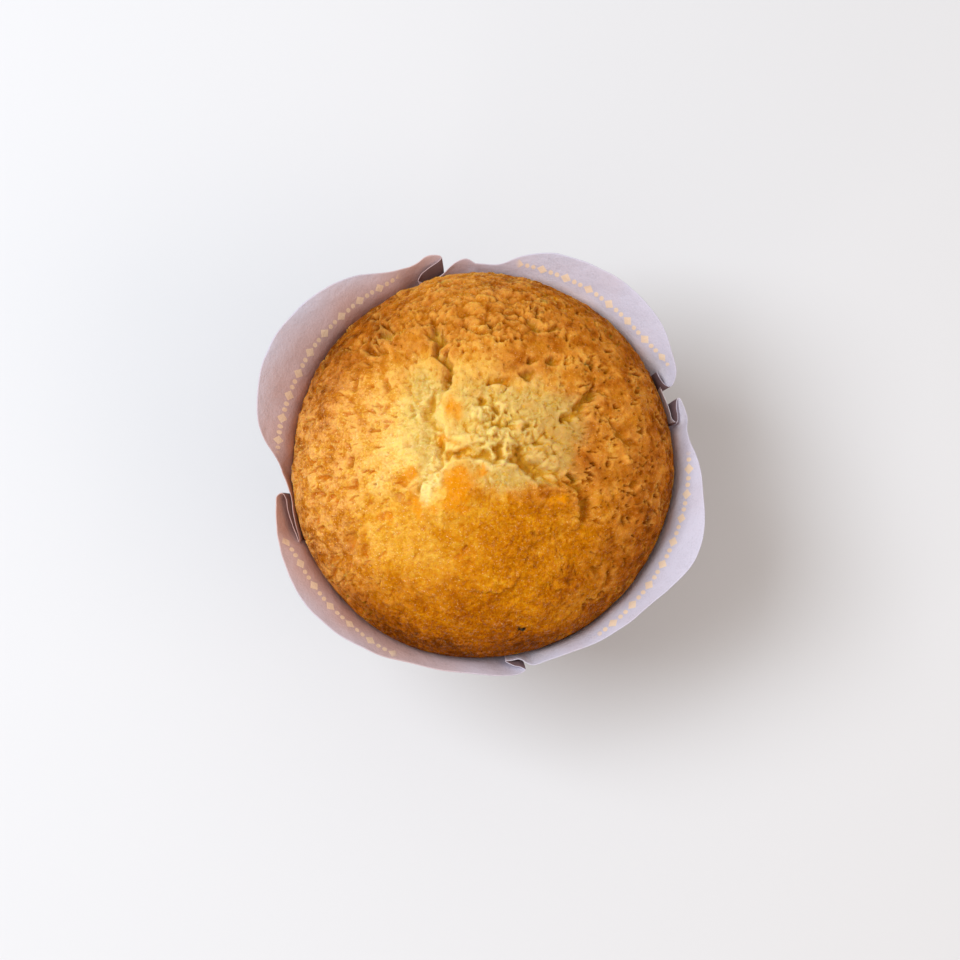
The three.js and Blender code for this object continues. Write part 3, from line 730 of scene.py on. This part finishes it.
# %% Lay the sheet on its cone
def sheet_points(line, shares):
    """The sheet's middle: along each column the height runs from the foot to the edge, the angle turns
    from its place at the foot to its place at the edge, and the radius is the cone's plus the folded
    layers, which lie pressed together below and stand apart at the edge. Round the widest ring the
    petals lean against the cake and follow its roundness."""
    angle, layer, stand_off, edge, foot = (line[None, :, k] for k in range(5))
    z = CONE_FOOT_HEIGHT + (edge - CONE_FOOT_HEIGHT) * shares[:, None]
    folded = np.clip((z - CONE_FOOT_HEIGHT) / (NOTCH_HEIGHT - CONE_FOOT_HEIGHT), 0, 1) ** 0.75
    pressed = layer * PRESSED_LAYER * smoothstep(0.08, 0.45, folded)
    opened = smoothstep(NOTCH_HEIGHT - 7, NOTCH_HEIGHT + 0.6, z)
    turn = np.radians(foot + (angle - foot) * folded)
    lean = paper_lean(turn, z) * smoothstep(0.7, 0.1, np.abs(stand_off) * opened)
    radius = case_radius(z) + pressed + (stand_off - pressed) * opened + lean
    return np.stack([radius * np.cos(turn), radius * np.sin(turn), z], -1)


shares = np.concatenate([[0], 1 - (1 - np.linspace(0.03, 1, PAPER_ROWS)) ** 1.4])
sheet = sheet_points(line, shares)
print("the sheet has", len(shares), "rows of", len(line), "points")

# %% Crease the sheet
flat_sheet = sheet.reshape(-1, 3)
up_sheet = flat_sheet[:, 2]
free = smoothstep(NOTCH_HEIGHT - 2, NOTCH_HEIGHT + 7, up_sheet)
wave = 0.5 * bumps(flat_sheet, 15, 61) + 0.22 * bumps(flat_sheet, 6, 62)
pressed_folds = 1 - np.abs(bumps(flat_sheet * np.array([1, 1, 0.09]), 5.2, 64)) * 2.4
creases = np.maximum(pressed_folds, 0) * 0.5 * smoothstep(34, 8, up_sheet) * smoothstep(0, 4, up_sheet)
crumple = np.maximum(0, 1 - np.abs(bumps(flat_sheet, 9, 65)) * 5)
crumple *= smoothstep(0.1, 0.4, bumps(flat_sheet, 22, 66))
crinkle = 0.06 * bumps(flat_sheet, 2.2, 63) + 0.16 * crumple
outward = flat_sheet * np.array([1, 1, 0])
outward /= np.linalg.norm(outward, axis=1)[:, None]
sheet = (flat_sheet + outward * (wave * free + creases + crinkle)[:, None]).reshape(sheet.shape)


def sheet_normals(grid):
    """Outward normals of a grid whose rows close on themselves: the step round the case crossed with the
    step up the sheet."""
    around = np.roll(grid, -1, 1) - np.roll(grid, 1, 1)
    up = np.gradient(grid, axis=0)
    normal = np.cross(around, up)
    return normal / np.linalg.norm(normal, axis=-1, keepdims=True)


normals = sheet_normals(sheet)
outer = sheet + normals * PAPER / 2
inner = sheet - normals * PAPER / 2
print("height of the paper's edge:", span(line[:, 3]))

# %% [markdown]
# ## The thin case
#
# Baking paper is a tenth of a millimetre thick, and its two faces differ. A Solidify modifier could
# thicken one surface. Here both faces are built, joined along the edge and closed at the foot, so that
# each can have its own finish. A map along the sheet, in millimetres, carries the printed band. Two
# amounts on the points carry painted light: a warm painted bounce on the left petals, and painted light
# that makes the right petals paler low down beside the dome, where the dome's shade falls.

# %% Close the sheet into a thin case
BASE_LIFT = 0.02
FOOT_ROUNDING = 0.8


def case_face(wall, z):
    """One face of the case: the foot's centre, a ring at the foot's edge, and the wall's rows."""
    flat = np.radians(line[:, 4])
    radius = CASE_BASE_RADIUS - FOOT_ROUNDING
    ring = np.stack([radius * np.cos(flat), radius * np.sin(flat), np.full(len(flat), z)], -1)
    return np.concatenate([[[0, 0, z]], ring, wall.reshape(-1, 3)])


columns = len(line)
rows = len(shares) + 1
outer_points = case_face(outer, BASE_LIFT)
inner_points = case_face(inner, BASE_LIFT + PAPER)
case_points = np.concatenate([outer_points, inner_points])
loops = [1 + k * columns + np.arange(columns) for k in range(rows)]
shift = len(outer_points)
outer_quads = np.concatenate([loop_faces(b, a) for a, b in zip(loops[:-1], loops[1:])])
inner_quads = np.concatenate([loop_faces(a, b) for a, b in zip(loops[:-1], loops[1:])]) + shift
rim_quads = loop_faces(loops[-1] + shift, loops[-1])
outer_foot = np.stack([np.zeros(columns, int), np.roll(loops[0], -1), loops[0]], -1)
inner_foot = np.stack([np.zeros(columns, int), loops[0], np.roll(loops[0], -1)], -1) + shift
case_quads = np.concatenate([outer_quads, inner_quads, rim_quads])
case = mesh_object("paper_sheet", case_points, case_quads, np.concatenate([outer_foot, inner_foot]))
print("paper triangles:", len(case_quads) * 2 + 2 * columns)

# %% Mark the paper's faces, its print and its stains
is_inner = np.zeros(len(case.data.polygons), np.int32)
is_inner[len(outer_quads):len(case_quads)] = 1
is_inner[len(case_quads) + columns:] = 1
case.data.polygons.foreach_set("material_index", is_inner)
paper_map = case.data.uv_layers.new(name="sheet")
edge_steps = np.linalg.norm(np.diff(sheet[-1], axis=0), axis=1)
along = np.concatenate([[0], np.tile(np.concatenate([[0], np.cumsum(edge_steps)]), rows)])
height_up = np.concatenate([[0], np.zeros(columns), sheet[..., 2].ravel()])
places = np.stack([np.tile(along, 2), np.tile(height_up, 2)], -1)
corner_points = np.zeros(len(case.data.loops), np.int32)
case.data.loops.foreach_get("vertex_index", corner_points)
paper_map.data.foreach_set("uv", places[corner_points].astype(np.float32).ravel())
add_amount(case, "printed", np.tile(np.concatenate([[0], np.tile(line[:, 5], rows)]), 2))
# painted light: a warm tint on the left petals, standing for warm light bounced onto them
painted_warm_bounce = 0.9 * smoothstep(12, -22, case_points[:, 0]) * smoothstep(63, 52.5, case_points[:, 2])
add_amount(case, "painted_warm_bounce", np.clip(painted_warm_bounce + 0.25 * bumps(case_points, 9, 67), 0, 1))
# painted light: paler paper low on the right petals beside the dome, against the dome's shade
painted_lift_near_dome = smoothstep(0, 20, case_points[:, 0]) * smoothstep(54.5, 51.5, case_points[:, 2])
add_amount(case, "painted_lift_near_dome", painted_lift_near_dome)
print("the sheet is", round(float(along.max())), "mm long, measured along its pleated edge")

# %% [markdown]
# ## Tools for finishes
#
# A finish in Blender is a net of nodes. They could be placed by hand in the node editor, but written
# down they can be read in order. A small class keeps each call short.

# %% Helpers for materials
def srgb(red, green, blue):
    """A colour given as screen values from 0 to 255, turned into the linear values that nodes use."""
    value = np.array([red, green, blue]) / 255
    linear = np.where(value <= 0.04045, value / 12.92, ((value + 0.055) / 1.055) ** 2.4)
    return (*[float(v) for v in linear], 1.0)


class Finish:
    """A material under construction, with short calls for the nodes that these finishes need."""

    def __init__(self, name):
        """Starts with the one shader that a new material has."""
        self.material = bpy.data.materials.new(name)
        self.material.use_nodes = True
        self.nodes = self.material.node_tree.nodes
        self.links = self.material.node_tree.links
        self.shader = self.nodes["Principled BSDF"]

    def node(self, kind, **settings):
        """A new node of a kind, with its settings."""
        made = self.nodes.new(kind)
        for name, value in settings.items():
            setattr(made, name, value)
        return made

    def feed(self, socket, value):
        """Links another node's output to a socket, or sets the socket to a plain value."""
        if isinstance(value, bpy.types.NodeSocket):
            self.links.new(value, socket)
        else:
            socket.default_value = value

    def put(self, name, value):
        """Sets one of the shader's own sockets, or links it."""
        self.feed(self.shader.inputs[name], value)

    def amount(self, name):
        """One of the numbers kept on the mesh's points."""
        return self.node("ShaderNodeAttribute", attribute_name=name).outputs["Fac"]

    def math(self, operation, *values):
        """One step of arithmetic on one, two or three values."""
        made = self.node("ShaderNodeMath", operation=operation)
        for socket, value in zip(made.inputs, values):
            self.feed(socket, value)
        return made.outputs[0]

    def times(self, first, second):
        """The first value times the second."""
        return self.math("MULTIPLY", first, second)

    def plus(self, first, second):
        """The first value plus the second."""
        return self.math("ADD", first, second)

    def minus(self, first, second):
        """The first value less the second."""
        return self.math("SUBTRACT", first, second)

    def most(self, first, second):
        """The larger of two values."""
        return self.math("MAXIMUM", first, second)

    def slope(self, value, steepness, start):
        """A straight line: the value times its steepness, plus a start."""
        return self.math("MULTIPLY_ADD", value, steepness, start)

    def noise(self, scale, detail, roughness):
        """Random cloudiness about 0.5, with `scale` clouds to the metre and finer ones added to them."""
        made = self.node("ShaderNodeTexNoise")
        made.inputs["Scale"].default_value = scale
        made.inputs["Detail"].default_value = detail
        made.inputs["Roughness"].default_value = roughness
        self.links.new(self.node("ShaderNodeTexCoord").outputs["Object"], made.inputs["Vector"])
        return made.outputs["Fac"]

    def ramp(self, value, stops):
        """A colour that runs straight from stop to stop as the value rises."""
        made = self.node("ShaderNodeValToRGB")
        elements = made.color_ramp.elements
        while len(elements) < len(stops):
            elements.new(0.5)
        for element, (position, colour) in zip(elements, stops):
            element.position = position
            element.color = colour
        self.links.new(value, made.inputs["Fac"])
        return made.outputs["Color"]

    def rise(self, value, low, high, bottom=0.0, top=1.0):
        """A grey that goes from bottom to top as the value goes from low to high."""
        return self.ramp(value, [(low, (bottom, bottom, bottom, 1)), (high, (top, top, top, 1))])

    def mix(self, share, first, second, blend="MIX"):
        """The first colour times one less the share, plus the second times the share; or another blend."""
        made = self.node("ShaderNodeMix", data_type="RGBA", blend_type=blend)
        for name, value in (("Factor_Float", share), ("A_Color", first), ("B_Color", second)):
            socket = next(s for s in made.inputs if s.identifier == name)
            self.feed(socket, value)
        return next(s for s in made.outputs if s.identifier == "Result_Color")

    def bump(self, height, strength, distance):
        """Normals that lean as if the surface rose by the height times the distance."""
        made = self.node("ShaderNodeBump")
        made.inputs["Strength"].default_value = strength
        made.inputs["Distance"].default_value = distance
        self.links.new(height, made.inputs["Height"])
        return made.outputs["Normal"]


print("mid grey as a node value:", round(srgb(128, 128, 128)[0], 3))

# %% [markdown]
# ## The baked cake's finish
#
# Crust and crumb are one skin on the real muffin, so they are one material, which reads the amounts
# kept on the cake's points. The crust runs from pale gold to brown with its bake, and is more orange
# where it is moist. The crumb is a paler yellow, with golden gaps. Butter leaves amber stains. Light
# and shade are painted into the colour too: a deeper colour with painted shade in hollows, pricks and
# pores, painted highlights on ridges, pale specks as painted glints, and a partly painted sheen on the
# grainy left side. Light passes a little way under the surface, as it does in cake, and moist crust
# shines only in small glints, so the gloss comes in specks. A photograph laid over the dome could give
# all this at once, but it would carry its own light and shade and would fail from the sides.

# %% Patterns of the cake's finish
def cake_patterns(look):
    """Fine random patterns that colour, gloss and bump share: speckle, mottling, grain, a blotchy thin
    skin, pricks in the crust that come in patches, and pores in the crumb."""
    buttery = look.most(look.amount("moist"), look.amount("grainy"))
    patch = look.rise(look.noise(210, 2, 0.5), 0.35, 0.65, 0.15)
    prick = look.times(look.rise(look.noise(980, 3, 0.55), 0.64, 0.69), patch)
    return dict(
        buttery=buttery,
        speckle=look.noise(1100, 3, 0.65),
        mottle=look.noise(330, 4, 0.6),
        fine=look.noise(2000, 3, 0.65),
        skin=look.rise(look.noise(360, 5, 0.66), 0.43, 0.57),
        prick=look.times(prick, look.slope(buttery, -0.6, 0.95)),
        pore=look.rise(look.noise(820, 3, 0.6), 0.36, 0.44, 1.0, 0.0),
    )


def bake_tone(look, pattern):
    """How brown each point looks: its bake plus mottling, less a paler thin skin, plus grain where the
    crust is moist, and paler specks where it is grainy, which are painted glints."""
    mottled = look.times(look.minus(pattern["mottle"], 0.5), look.slope(pattern["buttery"], -0.18, 0.26))
    tone = look.plus(look.amount("bake"), mottled)
    tone = look.plus(tone, look.slope(pattern["skin"], -0.1, 0.05))
    moist_grain = look.slope(pattern["speckle"], 0.3, look.slope(pattern["fine"], 0.4, -0.35))
    tone = look.slope(moist_grain, look.times(look.amount("moist"), 1.2), tone)
    # painted glints: on the grainy side the finest specks are made paler
    grain = look.math("MINIMUM", look.slope(pattern["fine"], -1.2, 0.56), 0.05)
    return look.slope(grain, look.amount("grainy"), tone)


baked = Finish("baked cake")
patterns = cake_patterns(baked)
print("patterns of the cake's finish:", list(patterns))

# %% Colours of crust and crumb
DRY_CRUST = [(0.0, srgb(244, 212, 122)), (0.25, srgb(228, 177, 84)), (0.5, srgb(207, 134, 48)),
             (0.75, srgb(172, 94, 20)), (1.0, srgb(112, 54, 9))]
MOIST_CRUST = [(0.0, srgb(236, 192, 74)), (0.25, srgb(220, 157, 25)), (0.5, srgb(196, 120, 6)),
               (0.75, srgb(156, 81, 2)), (1.0, srgb(98, 44, 1))]
SUNK_CRUST_AND_SHADE = [(0.05, srgb(232, 160, 28)), (0.4, srgb(206, 120, 8)), (0.8, srgb(130, 63, 3))]
PALE_CRUMB = [(0.3, srgb(205, 166, 78)), (0.5, srgb(214, 181, 100)), (0.7, srgb(226, 200, 132))]


def crust_colour(look, pattern):
    """Dry and moist crust mixed by moisture and the thin skin, then peach where it is grainy, partly a
    painted sheen; a deeper colour in the hollows and pricks, partly painted shade; and paler ridges as a
    painted highlight."""
    bake, moist, grainy = (look.amount(name) for name in ("bake", "moist", "grainy"))
    tone = bake_tone(look, pattern)
    patchy = look.times(pattern["skin"], look.slope(grainy, 0.35, -0.75))
    wetness = look.slope(patchy, look.slope(moist, -0.5, 1.0), look.slope(moist, 0.8, 0.55))
    wetness = look.math("MINIMUM", look.most(wetness, 0.0), 1.0)
    wetness = look.times(wetness, look.rise(bake, 0.1, 0.45, 0.25))
    crust = look.mix(wetness, look.ramp(tone, DRY_CRUST), look.ramp(tone, MOIST_CRUST))
    # peach thin skin on the grainy left side, partly a painted sheen of the light there
    peach = look.times(look.times(pattern["skin"], grainy), look.slope(moist, -0.25, 0.36))
    crust = look.mix(peach, crust, srgb(240, 178, 106))
    # the hollows and pricks take a deeper crust colour, partly the crust's own and partly painted shade
    deep = look.ramp(bake, SUNK_CRUST_AND_SHADE)
    hollow_tone_and_shade = look.times(look.amount("hollow"), look.slope(grainy, -0.25, 1.0))
    crust = look.mix(hollow_tone_and_shade, crust, look.mix(grainy, deep, srgb(208, 120, 26)))
    # painted shade: the pricks are drawn darker still
    crust = look.mix(pattern["prick"], crust, look.mix(0.4, deep, srgb(120, 58, 6)))
    # painted highlight: the ridges are paler, less so where the crust is moist
    painted_ridge_highlight = look.times(look.amount("ridge"), look.slope(moist, -0.28, 0.35))
    return look.mix(painted_ridge_highlight, crust, srgb(232, 172, 84))


def crumb_colour(look, pattern):
    """Speckled pale yellow with a painted highlight on the ridges, browner and greyer with the bake, which on
    the crumb's right part is painted shade, and golden in gaps and pores, darker in the deepest ones as
    painted shade.
    """
    hollow = look.amount("hollow")
    pale = look.ramp(pattern["speckle"], PALE_CRUMB)
    # painted highlight: paler crumb on the ridges
    pale = look.mix(look.times(look.amount("ridge"), 0.45), pale, srgb(244, 221, 150))
    # painted shade: on the crumb's right part the bake greys it where shade falls among the lumps
    pale = look.mix(look.times(look.amount("bake"), 0.9), pale, srgb(192, 146, 76))
    # gaps and pores are golden, and darker in the deepest hollows as painted shade
    gap_colour_and_shade = look.mix(look.math("POWER", hollow, 3.0), srgb(216, 158, 42), srgb(204, 144, 38))
    return look.mix(look.most(hollow, look.times(pattern["pore"], 0.6)), pale, gap_colour_and_shade)


print("colours of dry crust, moist crust and crumb:", len(DRY_CRUST), len(MOIST_CRUST), len(PALE_CRUMB))

# %% The baked cake
AMBER = srgb(226, 144, 12)
PAINTED_GLINT = srgb(252, 222, 172)
BURNT = srgb(34, 18, 8)
MATT_ROUGHNESS = 0.75


def cake_colour(look, pattern):
    """Crust and crumb mixed by the crumb's amount, then amber stains, pale flecks that are painted glints,
    and the burnt fleck.
    """
    crust = crust_colour(look, pattern)
    colour = look.mix(look.amount("crumb"), crust, crumb_colour(look, pattern))
    stain = look.times(look.amount("amber"), look.plus(pattern["mottle"], 0.3))
    colour = look.mix(stain, colour, AMBER)
    # painted glints: pale specks, more on the grainy side and where the bake is light
    fleck = look.rise(look.noise(2900, 2, 0.5), 0.66, 0.72, 0.0, 0.5)
    fleck = look.times(fleck, look.minus(look.slope(look.amount("grainy"), 0.5, 1.15), look.amount("bake")))
    colour = look.mix(fleck, colour, PAINTED_GLINT)
    return look.mix(look.amount("burnt"), colour, BURNT)


def finish_cake(look, pattern):
    """The cake's colour, gloss in small beads, light under the surface, and a bump of grain less its pricks
    and pores."""
    crumb, grainy = look.amount("crumb"), look.amount("grainy")
    look.put("Base Color", cake_colour(look, pattern))
    beads = look.noise(1500, 3, 0.6)
    polish = look.slope(pattern["buttery"], -0.16, -0.37)
    look.put("Roughness", look.slope(look.rise(beads, 0.52, 0.57), polish, MATT_ROUGHNESS))
    glossy = look.most(look.slope(look.amount("moist"), 0.8, 0.2), grainy)
    glossy = look.times(glossy, look.slope(look.amount("bake"), -0.6, 1.25))
    look.put("Specular IOR Level", look.times(look.rise(beads, 0.55, 0.64, 0.02), glossy))
    look.put("IOR", 1.4)
    look.put("Specular Tint", (1.0, 0.86, 0.66, 1))
    look.put("Subsurface Weight", look.slope(crumb, 0.35, 0.45))
    look.put("Subsurface Radius", (1.0, 0.55, 0.16))
    look.put("Subsurface Scale", 0.0028)
    height = look.times(pattern["fine"], look.slope(pattern["buttery"], 0.4, 0.3))
    height = look.slope(pattern["speckle"], look.slope(grainy, -0.4, 1.0), height)
    height = look.minus(height, look.most(pattern["prick"], look.times(pattern["pore"], crumb)))
    height = look.times(height, look.slope(crumb, -0.35, 1.0))
    look.put("Normal", look.bump(height, 0.7, 0.0007))


finish_cake(baked, patterns)
cake.data.materials.append(baked.material)
print("nodes in the cake's finish:", len(baked.nodes))

# %% [markdown]
# ## The paper's finish
#
# Baking paper is matt, with fine fibres and cloudy thin places. Painted light warms its colour on the
# left petals, as a painted warm bounce, and makes it paler low on the right petals beside the dome,
# against the dome's shade. A plain band of diamonds and dots is printed along the petals. It could be a
# picture on the sheet's map, but two short formulas on the same map stay sharp at any distance.

# %% The paper's two faces
BAND_STEP = 6.0
BAND_HEIGHT = 54.6
DOT_PLACE = 0.37


def printed_band(look):
    """The print, 0 or 1, on the sheet's map: in each step a diamond, which is where the two distances from
    its middle, as shares of its half sizes, add up to under 1, and a round dot on both sides of it."""
    split = look.node("ShaderNodeSeparateXYZ")
    look.links.new(look.node("ShaderNodeUVMap", uv_map="sheet").outputs["UV"], split.inputs[0])
    step = look.math("FRACT", look.math("DIVIDE", split.outputs[0], BAND_STEP))
    aside = look.math("ABSOLUTE", look.minus(step, 0.5))
    above = look.math("ABSOLUTE", look.minus(split.outputs[1], BAND_HEIGHT))
    diamond = look.math("LESS_THAN", look.slope(aside, 4.6, look.times(above, 1.1)), 1.0)
    across = look.math("POWER", look.times(look.minus(aside, DOT_PLACE), 11.0), 2.0)
    upright = look.math("POWER", look.times(above, 2.2), 2.0)
    dot = look.math("LESS_THAN", look.plus(across, upright), 1.0)
    return look.times(look.most(diamond, dot), look.amount("printed"))


def paper_finish(name, plain, painted_warm_bounce, painted_lift_near_dome, printed, print_strength):
    """Baking paper: its plain colour warmed by a painted warm bounce on the left petals and made paler by
    painted light low on the right petals, times a shade of fibres, clouds and blotches, with the worn
    print on top and a slight crinkle."""
    look = Finish(name)
    fibre = look.noise(2600, 4, 0.7)
    cloud = look.noise(520, 4, 0.65)
    shade = look.slope(look.noise(160, 3, 0.5), 0.2, look.slope(cloud, 0.22, 0.51))
    shade = look.slope(fibre, 0.55, shade)
    tint = look.mix(look.amount("painted_warm_bounce"), plain, painted_warm_bounce)
    tint = look.mix(look.amount("painted_lift_near_dome"), tint, painted_lift_near_dome)
    base = look.mix(1.0, tint, look.rise(shade, 0.0, 1.0), "MULTIPLY")
    worn = look.times(printed_band(look), look.slope(fibre, 0.5, print_strength - 0.25))
    look.put("Base Color", look.mix(worn, base, printed))
    look.put("Roughness", 0.68)
    look.put("Specular IOR Level", 0.3)
    look.put("Normal", look.bump(look.slope(cloud, 3.0, fibre), 0.35, 0.0002))
    return look.material


# in each call the second colour is the painted warm bounce and the third the paler painted light
outside = paper_finish("paper outside", srgb(125, 102, 107), srgb(123, 96, 95), srgb(125, 102, 107),
                       srgb(206, 178, 152), 0.85)
inside = paper_finish("paper inside", srgb(203, 198, 215), srgb(208, 169, 160), srgb(246, 240, 250),
                      srgb(240, 212, 182), 0.9)
case.data.materials.append(outside)
case.data.materials.append(inside)
print("faces of the paper:", [finish.name for finish in case.data.materials])

# %% [markdown]
# ## Ties to the frame
#
# Both pieces stand for their CAD solids, which are hidden, and ride on the frame's one body.

# %% Tie the pieces to the frame
for piece, slot in ((cake, "cake"), (case, "paper")):
    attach(piece, "root")
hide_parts("cake")
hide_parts("paper_case")
print("pieces tied to the frame:", cake.name, case.name)

# %% [markdown]
# ## The floor
#
# The muffin stands on a plain pale sheet, which sets the stage and isn't part of the muffin. A curved
# backdrop could hide the horizon, but one flat face that is far larger than any view is enough.

# %% The floor
FLOOR_HALF = 60.0
FLOOR_DROP = 0.0002
floor_mesh = bpy.data.meshes.new("floor")
corners = [(-1, -1), (1, -1), (1, 1), (-1, 1)]
floor_points = [(x * FLOOR_HALF, y * FLOOR_HALF, -FLOOR_DROP) for x, y in corners]
floor_mesh.from_pydata(floor_points, [], [(0, 1, 2, 3)])
floor = bpy.data.objects.new("floor", floor_mesh)
bpy.context.scene.collection.objects.link(floor)
floor_look = Finish("pale floor")
floor_look.put("Base Color", srgb(215, 215, 220))
floor_look.put("Roughness", 0.9)
floor_mesh.materials.append(floor_look.material)
print("floor:", 2 * FLOOR_HALF, "m square")

# %% [markdown]
# ## The lights
#
# A large soft lamp stands to the left and a little behind, as a window would. A weaker, warmer one
# opposite keeps the right side from going dark, and a small one, low in front, makes the moist crust
# glint. A picture of a room could light the scene too, but lamps are easier to steer one by one.

# %% The lights
LIT_PLACE = Vector((0, 0, 0.05))
# name, place in m, size in m, watts, colour
LAMPS = [
    ("key light", (-0.42, 0.1, 0.72), 0.42, 5.9, (0.88, 0.95, 0.98)),
    ("fill light", (0.55, -0.25, 0.5), 0.5, 1.2, (1.0, 0.8, 0.6)),
    ("glint light", (-0.3, -0.62, 0.36), 0.1, 0.3, (1.0, 0.95, 0.88)),
]


def soft_light(name, place, size, watts, colour):
    """A square lamp that points at the middle of the muffin."""
    lamp = bpy.data.lights.new(name, "AREA")
    lamp.size = size
    lamp.energy = watts
    lamp.color = colour
    made = bpy.data.objects.new(name, lamp)
    made.location = place
    made.rotation_euler = (LIT_PLACE - Vector(place)).to_track_quat("-Z", "Y").to_euler()
    bpy.context.scene.collection.objects.link(made)


for lamp in LAMPS:
    soft_light(*lamp)
world = bpy.data.worlds.new("studio")
world.use_nodes = True
world.node_tree.nodes["Background"].inputs["Color"].default_value = (1.0, 0.94, 0.88, 1)
world.node_tree.nodes["Background"].inputs["Strength"].default_value = 0.6
bpy.context.scene.world = world
bpy.context.scene.view_settings.view_transform = "Standard"
print("lamps:", [name for name, *_ in LAMPS])

# %% [markdown]
# ## The camera
#
# The muffin is seen from almost straight above, so the crown fills the picture and the case shows as a
# ring of petals. The camera's distance sets how far the petals spread past the dome, and the lens then
# sets how large the muffin is in the square picture.

# %% The camera
AIM = Vector((-0.4, -3.2, 51.0)) * MM
ELEVATION = math.radians(84)
DISTANCE = 384 * MM
SENSOR = 36.0
LENS = 67.16
camera = bpy.data.cameras.new("camera")
camera.sensor_width = SENSOR
camera.lens = LENS
camera.clip_start = 0.01
eye = bpy.data.objects.new("camera", camera)
eye.location = AIM + Vector((0, -math.cos(ELEVATION), math.sin(ELEVATION))) * DISTANCE
eye.rotation_euler = (math.radians(90) - ELEVATION, 0, 0)
bpy.context.scene.collection.objects.link(eye)
bpy.context.scene.camera = eye
print("camera stands", round(eye.location.z / MM), "mm up")
